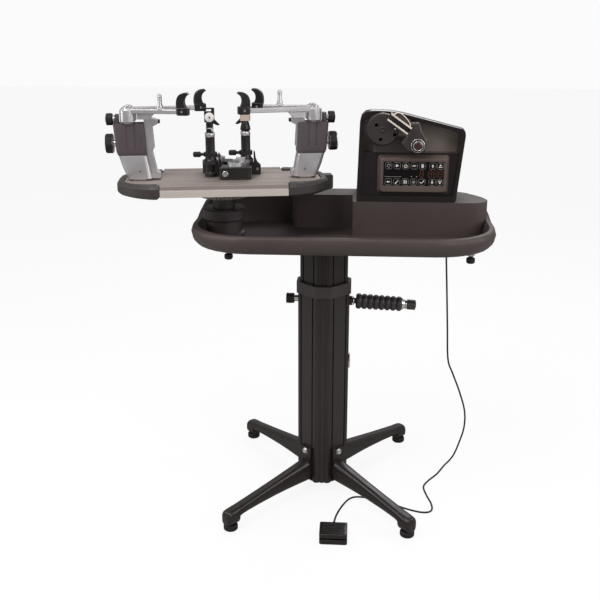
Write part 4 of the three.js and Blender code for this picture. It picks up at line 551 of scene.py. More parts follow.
CAMERA_SPOT = (77.85, -2198.29, 1277.6)  # in millimetres from the column's foot
CAMERA_LOOK = (-0.0617, 0.9479, -0.3127)
LAMP_AIM = Vector((0, 0, 0.7))
LAMPS = [
    # name, the setting of its power, its side and its place in metres
    ("key_lamp", "key", 1.6, (-0.9, -1.3, 2.9)),
    ("fill_lamp", "fill", 1.3, (1.7, -2.0, 1.7)),
    ("back_lamp", "fill", 1.3, (0.6, 1.9, 2.3)),
    ("left_lamp", "side", 1.0, (-2.4, -0.5, 1.3)),
    ("right_lamp", "side", 1.0, (2.5, -0.3, 1.3)),
]
WHITE = (1, 1, 1, 1)
BACKDROP = (0.965, 0.965, 0.965, 1)
LIGHT_FROM_BELOW = (0.22, 0.21, 0.205)
FLOOR_SEEN = (0.92, 0.915, 0.91, 1)
FLOOR_LIT = (0.42, 0.41, 0.405, 1)  # what the machine sees of the floor
FLOOR_WHITE = 0.88  # the share of plain white in what the camera sees


class STRINGER_OT_stage(bpy.types.Operator):
    """Camera, lamps, surroundings and floor"""

    bl_idname = "stringer.stage"
    bl_label = "Stage"
    bl_options = {"REGISTER", "UNDO"}

    def execute(self, context):
        scene = context.scene
        stage = scene.stringer_stage
        self.camera(scene, stage)
        for name, setting, size, spot in LAMPS:
            self.lamp(scene, name, getattr(stage, setting), size, Vector(spot))
        self.surroundings(scene, stage)
        self.floor(scene, stage)
        scene.view_settings.view_transform = "Standard"
        return {"FINISHED"}

    def camera(self, scene, stage):
        data = bpy.data.cameras.new("camera")
        data.lens = stage.lens
        data.sensor_width = 36
        data.clip_end = 60
        camera = bpy.data.objects.new("camera", data)
        camera.location = from_column(*CAMERA_SPOT)
        camera.rotation_euler = Vector(CAMERA_LOOK).to_track_quat("-Z", "Y").to_euler()
        scene.collection.objects.link(camera)
        scene.camera = camera

    def lamp(self, scene, name, power, size, spot):
        data = bpy.data.lights.new(name, "AREA")
        data.energy = power
        data.shape = "SQUARE"
        data.size = size
        lamp = bpy.data.objects.new(name, data)
        lamp.location = spot
        lamp.rotation_euler = (LAMP_AIM - spot).to_track_quat("-Z", "Y").to_euler()
        scene.collection.objects.link(lamp)

    def surroundings(self, scene, stage):
        """Pale light from all sides, less from below, and a plain backdrop for the camera."""
        world = bpy.data.worlds.new("surroundings")
        world.use_nodes = True
        tree = world.node_tree
        tree.nodes.clear()
        around = shader_node(tree, "TexCoord").outputs["Generated"]
        split = shader_node(tree, "SeparateXYZ", {"Vector": around})
        height = mapped(tree, split.outputs["Z"], -0.3, 0.9)
        tone = ramp(tree, height, (0, LIGHT_FROM_BELOW), (1, WHITE[:3]))
        lit = shader_node(tree, "Background", {"Color": tone, "Strength": stage.world})
        seen = shader_node(tree, "Background", {"Color": BACKDROP, "Strength": 1})
        ray = shader_node(tree, "LightPath").outputs["Is Camera Ray"]
        mix = mixed_shader(tree, ray, lit.outputs["Background"], seen.outputs["Background"])
        shader_node(tree, "OutputWorld", {"Surface": mix})
        scene.world = world

    def floor(self, scene, stage):
        """A wide floor that keeps the shadow and otherwise looks like the backdrop."""
        half = stage.floor / 2
        mesh = bpy.data.meshes.new("floor")
        corners = [(-half, -half, 0), (half, -half, 0), (half, half, 0), (-half, half, 0)]
        mesh.from_pydata(corners, [], [(0, 1, 2, 3)])
        floor = bpy.data.objects.new("floor", mesh)
        floor.location.z = -0.5 * MM
        scene.collection.objects.link(floor)
        made = bpy.data.materials.new("pale_floor")
        made.use_nodes = True
        tree = made.node_tree
        shader = tree.nodes["Principled BSDF"]
        ray = shader_node(tree, "LightPath").outputs["Is Camera Ray"]
        shade = mixed(tree, ray, FLOOR_LIT, FLOOR_SEEN)
        set_inputs(tree, shader, {"Base Color": shade, "Roughness": 0.8})
        white = shader_node(tree, "Emission", {"Color": WHITE, "Strength": 1})
        share = shader_node(tree, "Math", {0: ray, 1: FLOOR_WHITE}, operation="MULTIPLY")
        mix = mixed_shader(tree, share.outputs["Value"], shader.outputs["BSDF"],
                           white.outputs["Emission"])
        set_inputs(tree, tree.nodes["Material Output"], {"Surface": mix})
        mesh.materials.append(made)


# Pedal lead

LEAD_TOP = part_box("pedal_cord")[1].z / MM
LEAD_ROUTE = [
    # from the tray's gland to the pedal, in millimetres from the column's axis
    (334, 125, LEAD_TOP), (334, 125, LEAD_TOP - 20),
    (337, 131, 640), (345, 142, 540), (353, 150, 430), (360, 150, 330), (376, 151, 285),
    (398, 152, 230), (418, 153, 165), (420, 152, 110), (408, 150, 60), (394, 145, 22),
    (379, 134, 5), (362, 108, 2.8), (336, 56, 2.8), (306, 12, 2.8), (291, -22, 2.8),
    (296, -66, 2.8), (306, -112, 2.8), (303, -146, 2.8), (280, -156, 2.8), (242, -144, 2.8),
    (190, -116, 2.8), (140, -94, 2.8), (100, -88, 2.8), (78, -102, 2.8), (60, -138, 2.8),
    (46, -182, 2.8), (40, -222, 5), (40, -237.7, 10), (40, -247.7, 10),
]


def smooth_run(points, steps=6):
    """More points on the smooth curve through the given ones, ends kept."""
    run = []
    for i in range(len(points) - 1):
        p0, p1 = points[max(i - 1, 0)], points[i]
        p2, p3 = points[i + 1], points[min(i + 2, len(points) - 1)]
        for k in range(steps):
            t = k / steps
            run.append(0.5 * ((2 * p1) + (p2 - p0) * t + (2 * p0 - 5 * p1 + 4 * p2 - p3) * t * t
                              + (3 * p1 - p0 - 3 * p2 + p3) * t * t * t))
    run.append(points[-1])
    return run


class STRINGER_OT_lead(bpy.types.Operator):
    """The pedal's lead, from the tray's gland down to the pedal"""

    bl_idname = "stringer.lead"
    bl_label = "Pedal Lead"
    bl_options = {"REGISTER", "UNDO"}

    def execute(self, context):
        diameter = context.scene.stringer_sizes.lead
        points = smooth_run([from_column(*spot) for spot in LEAD_ROUTE])
        curve = wire(points, diameter / 2, "POLY", 4)
        curve.splines[0].use_smooth = True
        curve.materials.append(finishes(context.scene)["rubber"])
        drawn = bpy.data.objects.new("pedal_lead_path", curve)
        tube = bpy.data.meshes.new_from_object(drawn)
        tube.name = "pedal_lead"
        lead = bpy.data.objects.new("pedal_lead", tube)
        context.scene.collection.objects.link(lead)
        bpy.data.objects.remove(drawn)
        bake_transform(lead)
        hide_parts("pedal_cord")
        bore = diameter / MM / 2 + 0.25
        self.relief("lead_relief_tray", points[0], Vector((0, 0, -1)), bore, "lift")
        self.relief("lead_relief_pedal", points[-1], points[-2] - points[-1], bore, "stand")
        return {"FINISHED"}

    def relief(self, name, root, along, bore, body):
        """A tapered, ribbed sleeve round the lead where it leaves a housing."""
        collar, end = 1.6, 15.4
        profile = [(bore, 0), (bore + 3.2, 0), (bore + 3.2, collar)]
        for i in range(5):
            reach = collar + i * 2.6
            outer = bore + 2.9 - i * 0.42
            profile += [(outer - 0.7, reach + 0.3), (outer, reach + 0.9), (outer, reach + 1.9)]
        profile += [(bore + 0.7, end), (bore, end)]
        add_piece(name, turned(profile, 24, facing(root, along), hollow=True), "rubber", body)


# Finishes of the carried parts

NODE_LOOKS = [
    # the first name that a node's name starts with gives its finish, and its edges' rounding
    # in millimetres where the real edge is plainly rounder or sharper than the rest
    ("outer_column", "extrusion"), ("inner_column", "extrusion"), ("column_collar", "cap"),
    ("leg_", "casting"), ("foot_", "rubber"), ("tray_foot", "rubber", 3.0), ("tray", "tray", 3.0),
    ("lock_handle", "grip"), ("lock_plunger", "moulding"), ("turntable_pedestal", "cap", 1.6),
    ("brake_ring", "knurl", 0.3), ("turntable_deck", "deck", 0.6), ("end_cap", "cap", 2.0),
    ("tower_base", "silver", 1.4), ("tower_housing", "housing", 1.6),
    ("frame_support", "silver"), ("support_knob", "rubber"), ("arm_knob", "rubber"),
    ("long_arm", "silver"), ("short_arm", "silver"), ("long_hook", "claw"),
    ("short_hook", "claw"), ("clamp_base", "claw", 1.4), ("clamp_link", "silver"),
    ("clamp_post", "claw"), ("clamp_rod", "claw", 0.4), ("clamp_head", "claw", 0.6),
    ("console_shell", "gloss", 3.0), ("console_bezel", "bezel", 1.6),
    ("control_panel", "panel", 0.25), ("tension_carriage", "drum", 1.2),
    ("gripper_drum", "drum"), ("gripper_jaws", "bright", 0.5), ("pedal", "gloss", 1.2),
]
KEPT_FACETS = ("console_shell", "long_hook", "short_hook", "long_arm", "tower_base",
               "tower_housing")
DECK_LIP = 0.62  # how far up the deck's bright band reaches
RECESS_DEPTH = 50  # from the console's front to the back wall of its recess
LINK_BOSS = 21  # the dark part of a clamp's link, from the post's axis


class STRINGER_OT_finishes(bpy.types.Operator):
    """Finishes and rounded edges of the parts that come from the frame"""

    bl_idname = "stringer.finishes"
    bl_label = "Part Finishes"
    bl_options = {"REGISTER", "UNDO"}

    def execute(self, context):
        made = finishes(context.scene)
        narrow = context.scene.stringer_sizes.edge
        for name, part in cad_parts.items():
            if name == "pedal_cord":
                continue
            look = next((rest for start, *rest in NODE_LOOKS if name.startswith(start)), None)
            if look is None:
                raise RuntimeError(f"no finish is set for {name}")
            mesh = part.data
            mesh.materials.clear()
            mesh.materials.append(made[look[0]])
            mesh.polygons.foreach_set("material_index", [0] * len(mesh.polygons))
            mesh.polygons.foreach_set("use_smooth", [True] * len(mesh.polygons))
            soften(part, look[1] * MM if len(look) > 1 else narrow)
        low, high = local_box("turntable_deck", TABLE)
        lip = low.z + DECK_LIP * (high.z - low.z)
        second_finish("turntable_deck", "deck_edge", TABLE,
                      lambda p, n: abs(n.y) > 0.7 and abs(p.y) > 128 and p.z < lip)
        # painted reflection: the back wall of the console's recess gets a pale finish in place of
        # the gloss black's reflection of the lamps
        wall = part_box("console_shell")[0].y / MM + RECESS_DEPTH
        second_finish("console_shell", "recess", Matrix.Identity(4),
                      lambda p, n: n.y < -0.9 and p.y > wall)
        second_finish("gripper_jaws", "smoked", jaws_place(), lambda p, n: abs(p.x) < 5.7)
        for side in SIDES:
            second_finish(f"clamp_link_{side}", "claw", post_place(side),
                          lambda p, n: math.hypot(p.x, p.y) < LINK_BOSS)
        return {"FINISHED"}


# Control panel

PRINT_THICKNESS = 0.15
KEY_ROWS = [
    # height over the panel's middle as a share of its height, and the icons from the left
    (0.343, ["turn", "play", "up_lines", "bolt", "page", "up", "up_two"]),
    (-0.338, ["back", "slant", "bars", "ring", "tick", "down", "down_two"]),
]
KEY_SHARES = [0.082, 0.223, 0.365, 0.505, 0.645, 0.814, 0.942]  # of the width, from the left
DIGIT_SHARES = (0.135, 0.272, 0.361, 0.444)  # of the width, from the middle
SEGMENTS = [
    # the ends of a figure's seven segments, in half widths and half heights
    ((-1, 1), (1, 1)), ((1, 1), (1, 0)), ((1, 0), (1, -1)), ((-1, -1), (1, -1)),
    ((-1, -1), (-1, 0)), ((-1, 0), (-1, 1)), ((-1, 0), (1, 0)),
]


def panel_place():
    """The frame of the panel's face: X to the right, Y up, Z out of the face, middle at 0."""
    low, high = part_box("control_panel")
    basis = Matrix(((1, 0, 0), (0, 0, -1), (0, 1, 0))).to_4x4()
    spot = ((low.x + high.x) / 2, low.y - 0.05 * MM, (low.z + high.z) / 2)
    return Matrix.Translation(spot) @ basis


def stroke(points, width):
    """The flat outlines of a line's straight parts, drawn out a little past their ends."""
    outlines = []
    spots = [Vector(p) for p in points]
    for a, b in zip(spots, spots[1:]):
        along = (b - a).normalized() * width / 2
        side = Vector((-along.y, along.x))
        a, b = a - along * 0.9, b + along * 0.9
        outlines.append([a - side, b - side, b + side, a + side])
    return outlines


ICON_REACH = 7  # half of the square that the icons are drawn in
ICONS = {
    # each shape's points, and its line's width over the icons' line, or 0 for a filled shape
    "turn": [(1, arc(0, 0, 3.4, 300, 20)), (0, [(3.2, 3.6), (4.6, 0.4), (1.4, 1.0)])],
    "play": [(0, [(-2.6, -3.6), (3.8, 0), (-2.6, 3.6)])],
    "up_lines": [(1.2, [(-4, -1.4), (0, 3.4), (4, -1.4)]), (1.4, [(-2.4, -3.2), (2.4, -3.2)])],
    "bolt": [(0, [(-4.6, 0), (-1, -2.8), (-1, 2.8)]), (0, [(4.6, 0), (1, 2.8), (1, -2.8)]),
             (1.4, [(-2, 0), (2, 0)])],
    "page": [(0, [(-2.8, -4), (2.8, -4), (2.8, 2.6), (1.2, 4), (-2.8, 4)])],
    "up": [(0, [(-3.2, -0.4), (3.2, -0.4), (0, 4)]),
           (0, [(-1.2, -4), (1.2, -4), (1.2, -0.2), (-1.2, -0.2)])],
    "up_two": [(0, [(-3.4, 0), (3.4, 0), (0, 4.2)]), (1.4, [(-3.4, -2.6), (3.4, -2.6)])],
    "back": [(0, [(-4.2, 0), (-0.6, -3), (-0.6, 3)]),
             (0, [(-0.8, -1), (4, -1), (4, 1), (-0.8, 1)])],
    "slant": [(0, [(-3.8, -2.6), (-2.4, -3.8), (3.8, 2.6), (2.4, 3.8)]),
              (1, [(-3.8, -3.8), (-1, -3.8)])],
    "bars": [(0, [(x - 1.2, -3.8), (x + 1.2, -3.8), (x + 1.2, 3.8), (x - 1.2, 3.8)])
             for x in (-2.2, 2.2)],
    "ring": [(1.3, arc(0, 0, 3.6, 0, 360, 16)), (0, arc(0, 0, 1.3, 0, 330, 8))],
    "tick": [(1.6, [(-3.8, -0.4), (-1.2, -3.2), (4, 3.2)])],
    "down": [(0, [(3.2, 0.4), (-3.2, 0.4), (0, -4)]),
             (0, [(-1.2, 0.2), (1.2, 0.2), (1.2, 4), (-1.2, 4)])],
    "down_two": [(0, [(3.4, 0), (-3.4, 0), (0, -4.2)]), (1.4, [(-3.4, 2.6), (3.4, 2.6)])],
}


class STRINGER_OT_panel(bpy.types.Operator):
    """Key outlines with generic icons, the display's digits and its rule"""

    bl_idname = "stringer.panel"
    bl_label = "Panel Artwork"
    bl_options = {"REGISTER", "UNDO"}

    def execute(self, context):
        sizes = context.scene.stringer_sizes
        low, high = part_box("control_panel")
        width, height = (high.x - low.x) / MM, (high.z - low.z) / MM
        line, half = sizes.line / MM, sizes.icon / MM / 2
        square = round_corners(half, half, half * 0.3, 3)
        outlines, shapes = [], []
        for share, icons in KEY_ROWS:
            for spot, icon in zip(KEY_SHARES, icons):
                centre = Vector(((spot - 0.5) * width, share * height))
                outlines += [[p + centre for p in part]
                             for part in stroke(square + square[:1], line * 0.9)]
                for thickness, points in ICONS[icon]:
                    parts = stroke(points, line * 1.1 * thickness) if thickness else [points]
                    shapes += [[Vector(p) * half / ICON_REACH + centre for p in part]
                               for part in parts]
        rule = -0.12 * height
        outlines += stroke([(-0.484 * width, rule), (-0.208 * width, rule)], line)
        shapes += [arc(share * width, -0.11 * height, 0.9, 0, 324, 9) for share in (-0.035, 0.048)]
        self.print_shapes("panel_outlines", outlines, "outline")
        self.print_shapes("panel_printing", shapes, "print")
        self.print_shapes("panel_digits", self.digits(width, height, sizes.digit / MM), "lamp")
        return {"FINISHED"}

    def digits(self, width, height, size):
        """Slanted figures with all their segments, about half as wide as high."""
        shapes = []
        for share in DIGIT_SHARES:
            for ends in SEGMENTS:
                a, b = [Vector((share * width + x * size / 4 + y * size * 0.04,
                                0.01 * height + y * size / 2)) for x, y in ends]
                gap = (b - a).normalized() * size * 0.1
                shapes += stroke([a + gap, b - gap], size * 0.11)
        return shapes

    def print_shapes(self, name, shapes, finish_name):
        meshes = [raised(shape, 0, PRINT_THICKNESS, panel_place()) for shape in shapes]
        add_piece(name, meshes, finish_name, "lift", smooth=False)


# Fasteners

def socket_screw(radius, depth, place):
    """A round head with a hexagonal socket."""
    steps, across_flats = 24, radius * 0.48 * math.cos(math.pi / 6)
    head, socket = circle(radius, steps), []
    for i, (x, y) in enumerate(circle(across_flats, steps)):
        out = math.cos(math.radians(i % 4 * 15 - 30))
        socket.append((x / out, y / out))
    levels = [(head, 1, 0), (head, 1, 0.8), (head, 0.9, 1), (socket, 1, 1), (socket, 1, 0.35)]
    return loft([[(x * share, y * share, depth * level) for x, y in outline]
                 for outline, share, level in levels], place)


CLEAR = 0.3  # between a part and the one that it stands against
LEG_ROUND = 0.72  # 1 is an ellipse, 0 a rectangle
LEG_SIDES = 28
COLUMN_HALF = 69
COLUMN_SLANT = (COLUMN_HALF + 19) / math.sqrt(2)  # to a slanted side, 19 is half a flat
LEG_PLATE_END = COLUMN_SLANT + 9
LEG_BOLT_HEIGHT = 125
CORNERS = ("front_left", "front_right", "back_right", "back_left")


class STRINGER_OT_stand(bpy.types.Operator):
    """Cast legs and their bolts, details of the height lock, tray foot nuts and pedal ribs"""

    bl_idname = "stringer.stand"
    bl_label = "Stand Details"
    bl_options = {"REGISTER", "UNDO"}

    def execute(self, context):
        for corner in CORNERS:
            self.leg(corner)
        for corner in CORNERS:
            self.leg_bolt(corner, context.scene.stringer_sizes.leg_bolt / MM)
        self.lock_handle()
        self.lock_plunger()
        self.clip()
        for corner in CORNERS:
            self.tray_foot(corner)
        self.pedal()
        return {"FINISHED"}

    def foot(self, corner):
        """The level way from the column's axis to a foot."""
        return (middle(f"foot_{corner}") - COLUMN_AXIS) * Vector((1, 1, 0))

    def leg(self, corner):
        """A cast leg with a round back, from the column out to its foot, and its bolted plate."""
        low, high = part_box(f"foot_{corner}")
        foot = self.foot(corner)
        turn = math.atan2(foot.y, foot.x)
        reach, radius, pad = foot.length / MM, (high.x - low.x) / 2 / MM, high.z / MM + CLEAR
        place = Matrix.Translation(from_column(0, 0, 0)) @ Matrix.Rotation(turn, 4, "Z")
        faces = [(math.radians(45 * i) - turn, (COLUMN_SLANT if i % 2 else COLUMN_HALF) + CLEAR)
                 for i in range(8)]

        def seat(y):
            """How far out the column's face is, beside the leg's middle."""
            return min((d - y * math.sin(a)) / math.cos(a) for a, d in faces if math.cos(a) > 0.3)

        sections = smooth_run([Vector(section) for section in (
            # along the leg, half its width, underside, top
            (seat(0) - 2, 22, 34, 103), (seat(0) + 14, 21, 34.5, 97),
            (reach * 0.55, 16.5, 37.5, 80),
            (reach - radius * 1.25 - 9, 16.5, 33.5, 62), (reach - radius * 1.25 + 6, 18, pad, 61),
            (reach + radius * 0.5, 18.5, pad, 57), (reach + radius * 0.86, 15, pad, 49),
            (reach + radius, 9, pad + 4, 38))], 5)
        rings = []
        for x, half, under, top in sections:
            under = max(under, pad)
            level, rise = (top + under) / 2, (top - under) / 2
            rings.append([(x, math.copysign(abs(c) ** LEG_ROUND, c) * half,
                           level + math.copysign(abs(s) ** LEG_ROUND, s) * rise)
                          for c, s in circle(1, LEG_SIDES)])
        outline = [(seat(y), y) for y in (20, 10, 0, -10, -20)]
        outline += [(LEG_PLATE_END, -20), (LEG_PLATE_END, 20)]
        casting = [loft(rings, place), raised(outline, 86, 136, place)]
        made = add_piece(f"leg_casting_{corner}", casting, "casting", "stand", edge=1.2)
        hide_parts(f"leg_{corner}")

    def leg_bolt(self, corner, radius):
        out = self.foot(corner).normalized()
        spot = from_column(0, 0, LEG_BOLT_HEIGHT) + out * (LEG_PLATE_END * MM)
        add_piece(f"leg_bolt_{corner}", [
            band_ring(1, radius + 2.2, -0.2, 1.1, facing(spot, out), 28, 0.3),
            socket_screw(radius, 4.0, facing(spot + out * 0.9 * MM, out)),
        ], "bright", "stand", edge=0.3)

    def tray_foot(self, corner):
        low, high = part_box(f"tray_foot_{corner}")
        spot = Matrix.Translation(((low.x + high.x) / 2, (low.y + high.y) / 2, high.z))
        add_piece(f"tray_foot_nut_{corner}", [
            turned([(8.6, -8.2), (9.6, -7.4), (9.6, -2.6), (8.6, -1.8)], 6, spot),
            band_ring(4, 10.6, -1.7, -0.4, spot, 24, 0.2),
        ], "bright", "lift", edge=0.2, smooth=False)

    def lock_handle(self):
        handle = Matrix.Translation(from_column(0, 0, LOCK_Z)) @ spun(3, "Y") \
            @ shifted(77.3, 0, 0) @ spun(90, "Y")
        second_finish("lock_handle", "bright", handle, lambda p, n: 134 < p.z < 146.6)
        add_piece("handle_washer", [
            band_ring(6, 12.5, 142.2, 145.6, handle, 28),
            band_ring(6, 12.0, 1.2, 4.2, handle, 28),
        ], "bright", "lock_handle")
        cap = turned([(9, 169.2), (9, 169.9), (7.4, 170.9), (0.01, 171.3)], 28, handle)
        add_piece("handle_cap", cap, "moulding", "lock_handle")

    def lock_plunger(self):
        """The plunger's fixed neck, over which its knob slides, and the grip on the knob."""
        plunger = Matrix.Translation(from_column(-COLUMN_HALF - CLEAR, 0, LOCK_Z))
        second_finish("lock_plunger", "bright", plunger, lambda p, n: p.x > -10.8)
        sleeve = plunger @ spun(-90, "Y")
        neck = turned([(5.6, -0.2), (5.6, 10.6), (4.4, 11.4)], 28, sleeve)
        add_piece("plunger_neck", neck, "bright", "stand")
        grip = ribbed_sleeve(12.8, 12.5, 32.4, [13.4 + i * 3.2 for i in range(6)],
                             [(13.2, 0), (14.3, 0.6), (14.3, 1.8), (13.2, 2.4)], sleeve, 36)
        add_piece("plunger_grip", grip, "rubber", "lock_plunger")

    def clip(self):
        second_finish("outer_column", "silver", Matrix.Translation(from_column(0, 0, 0)),
                      lambda p, n: p.x > 69.4 and abs(p.z - CLIP_Z) < 21 and abs(p.y) < 6.6)
        screw = socket_screw(2.6, 1.4, facing(from_column(73, 0, CLIP_Z), (1, 0, 0)))
        add_piece("clip_screw", screw, "bright", "stand")

    def pedal(self):
        low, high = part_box("pedal_tread")
        rib = round_corners((high.x - low.x) / 2 / MM - 7, 1.2, 1.1, 3)
        spots = [((low.x + high.x) / 2, low.y + (9 + i * 7) * MM, high.z) for i in range(7)]
        ribs = [raised(rib, -0.2, 0.9, Matrix.Translation(spot)) for spot in spots]
        add_piece("pedal_ribs", ribs, "rubber", "pedal_tread")


# Towers

KNOB_RINGS = {
    # outer radius, height and finish
    "left": (21.4, 0.05, "moulding"), "right": (23.6, 2.2, "silver"),
}
KNOB_SHANK = 17.2  # where an arm knob's bright shank starts, from the knob's face


class STRINGER_OT_towers(bpy.types.Operator):
    """Screws, knob faces, hub bolts, claw sleeves, peg collars and pads of the two towers"""

    bl_idname = "stringer.towers"
    bl_label = "Tower Details"
    bl_options = {"REGISTER", "UNDO"}

    def execute(self, context):
        for side in SIDES:
            place = tower_place(side)
            screws = [socket_screw(3.1, 1.2, on(place, (-2, s * 25, 20), (0, s, 0)))
                      for s in (-1, 1)]
            add_piece(f"tower_screws_{side}", screws, "dark_silver", f"tower_{side}")
            self.knobs(side, place)
            self.pad(side, place)
            for kind in ("long", "short"):
                self.arm(side, kind)
            self.peg_collar(side)
        return {"FINISHED"}

    def knobs(self, side, place):
        body, outward = f"support_knob_{side}", (-1, 0, 0)
        face = on(place, (local_box(body, place)[0].x, 0, 88), outward)
        outer, height, finish_name = KNOB_RINGS[side]
        ring = band_ring(17.4, outer, -0.3, height, face, 44, 0.03)
        add_piece(f"support_knob_ring_{side}", ring, finish_name, body)
        add_piece(f"support_knob_cap_{side}", domed(9, 2.4, face), "moulding", body)
        body = f"arm_knob_{side}"
        low, _ = local_box(body, place)
        cap = domed(8, 1.8, on(place, (low.x, 0, 148), outward))
        add_piece(f"arm_knob_cap_{side}", cap, "moulding", body)
        shank = low.x + KNOB_SHANK
        second_finish(body, "bright", place, lambda p, n: p.x > shank)
        second_finish(f"support_knob_{side}", "bright", place, lambda p, n: p.x > shank - 4.5)

    def pad(self, side, place):
        _, high = local_box(f"frame_support_{side}", place)
        reach, sunk = 4.0, 0.6
        pad = raised(round_corners(reach / 2 + sunk, 12, 1.6, 4), high.z - 12.4, high.z - 4.6,
                     place @ shifted(high.x + reach / 2 - sunk, 0, 0))
        add_piece(f"support_pad_{side}", pad, "rubber", f"support_{side}", edge=0.5)

    def arm(self, side, kind):
        """An arm's hub bolt, and the screws and the moulded sleeve of its claw."""
        place, body = arm_place(side, kind), f"{kind}_arm_{side}"
        add_piece(f"hub_bolt_{kind}_{side}", [
            band_ring(2, 14.2, 36.8, 38.4, place, 32),
            socket_screw(8.8, 4.2, place @ shifted(0, 0, 38.2)),
        ], "bright", body, edge=0.2)
        low, high = local_box(f"{kind}_hook_{side}", place)
        screws = [socket_screw(3.2, 1.2, on(place, (low.x + 15, s * 12, 32.5), (0, s, 0)))
                  for s in (-1, 1)]
        add_piece(f"hook_screws_{kind}_{side}", screws, "dark_silver", body)
        start, base, top = low.x, low.z + 17.5, high.z - 0.1
        back = bezier((start - 0.6, base), (start - 2.4, top - 17), (start + 1.2, top),
                      (start + 27.4, top))
        throat = bezier((start + 31.4, top - 4.4), (start + 18.4, top - 9.5),
                        (start + 15.5, top - 23), (start + 24.5, base))
        sleeve = raised(back + throat, -7.9, 7.9, place @ spun(90, "X"))
        add_piece(f"claw_sleeve_{kind}_{side}", sleeve, "claw", body, edge=1.6)

    def peg_collar(self, side):
        peg = arm_place(side, "short") @ shifted(85, 0, 0)
        add_piece(f"peg_collar_{side}", [
            band_ring(7, 9.4, 36.8, 39.4, peg, 24),
            band_ring(5, 6.4, 66, 68.4, peg, 24, 0.4),
        ], "bright", f"short_arm_{side}")


# String clamps

CLAMP_PIVOTS = {
    # place on the deck, and the way along it that the base looks
    "left": (-12, 64, 1), "right": (30, -36, -1),
}


class STRINGER_OT_clamps(bpy.types.Operator):
    """Dials, rings, pins, bolts, blocks and grips of the two string clamps"""

    bl_idname = "stringer.clamps"
    bl_label = "Clamp Details"
    bl_options = {"REGISTER", "UNDO"}

    def execute(self, context):
        for side in SIDES:
            self.head(side)
            self.base(side)
            self.post(side)
        return {"FINISHED"}

    def head(self, side):
        place, body, forward = post_place(side), f"clamp_head_{side}", (0, -1, 0)
        rings = [band_ring(11, 12.7, 101, 111.6, place, 36, 0.7),
                 band_ring(8, 10.4, 121.6, 124.4, place, 32, 0.5)]
        add_piece(f"head_ring_{side}", rings, "silver", body)
        face = on(place, (0, -16, 151.3), forward)
        dial = turned([(11.8, -0.2), (11.8, 0.5), (11.2, 0.9), (0.01, 0.9)], 36, face)
        add_piece(f"dial_face_{side}", dial, "dial", body)
        pointer = [(0, 4), (-2.2, -0.4), (-1.6, -2.2), (0, -3), (1.6, -2.2), (2.2, -0.4)]
        mark = raised(pointer, 0.8, 1.1, face)
        add_piece(f"dial_mark_{side}", mark, "moulding", body, smooth=False)
        pin = turned([(1.6, 0), (1.6, 5), (3.2, 5.8), (3.4, 7.6), (2.2, 8.8)], 20,
                     on(place, (6, -7, 119), forward))
        add_piece(f"head_pin_{side}", pin, "bright", body)
        if side == "right":
            self.right_head(place, body)

    def right_head(self, place, body):
        """The right clamp's pale jaw carrier and its dark cone."""
        second_finish("clamp_head_right", "beige", place,
                      lambda p, n: 138.4 < p.z < 164.2 and abs(p.x) < 13.4 and abs(p.y) < 11.4)
        cone = turned([(8.2, 137.6), (9.6, 134), (13.2, 119), (13.2, 115.4), (9, 113)], 32, place)
        add_piece("head_cone_right", cone, "claw", body)

    def base(self, side):
        """The base's locking bolt, and the bolt and the block on the link's pivot."""
        x, y, out = CLAMP_PIVOTS[side]
        arm = f"clamp_arm_{side}"
        bolt = socket_screw(7.4, 3.2, on(TABLE, (x + out * 26, y + out * 24, 16), (0, out, 0)))
        add_piece(f"base_bolt_{side}", bolt, "bright", f"clamp_base_{side}", edge=0.3)
        pivot = TABLE @ shifted(x, y, 41.2)
        add_piece(f"pivot_bolt_{side}", [
            band_ring(2, 11.5, 0, 2, pivot, 32),
            socket_screw(7.2, 5, pivot @ shifted(0, 0, 1.8)),
        ], "dark_silver", arm, edge=0.2)
        block = raised(round_corners(11, 7, 1.6, 3), -0.1, 11.5,
                       TABLE @ shifted(x - out * 14, y - out * 6, 41.3) @ spun(-20))
        add_piece(f"link_block_{side}", block, "silver", arm, edge=0.6)

    def post(self, side):
        """The screw in the post's fin, and the ribbed grip on its rod."""
        x, y, _ = POSTS[side]
        screw = socket_screw(3.4, 1.2, on(TABLE, (x + 29, y - 8, 15), (0, -1, 0)))
        add_piece(f"fin_screw_{side}", screw, "dark_silver", f"clamp_arm_{side}")
        grip = ribbed_sleeve(6.2, 1.6, 18.2, [2 + i * 3.2 for i in range(5)],
                             [(6.6, 0), (7.4, 0.6), (7.4, 1.9), (6.6, 2.5)],
                             on(TABLE, (x - 24, y, 57), (-1, 0, 0)), 24)
        add_piece(f"rod_grip_{side}", grip, "rubber", f"clamp_rod_{side}")


# Tension head

DRUM_X, DRUM_Y, DRUM_Z = 144, -25, 188
DRUM_HOLES = [
    # distance from the drum's axis, angle from its top, and the bush's outer radius
    (19, -56, 7), (33, 113, 6.6), (25.4, 190, 7),
]
BUTTON = (232, -52, 151)
FORWARD = (0, -1, 0)


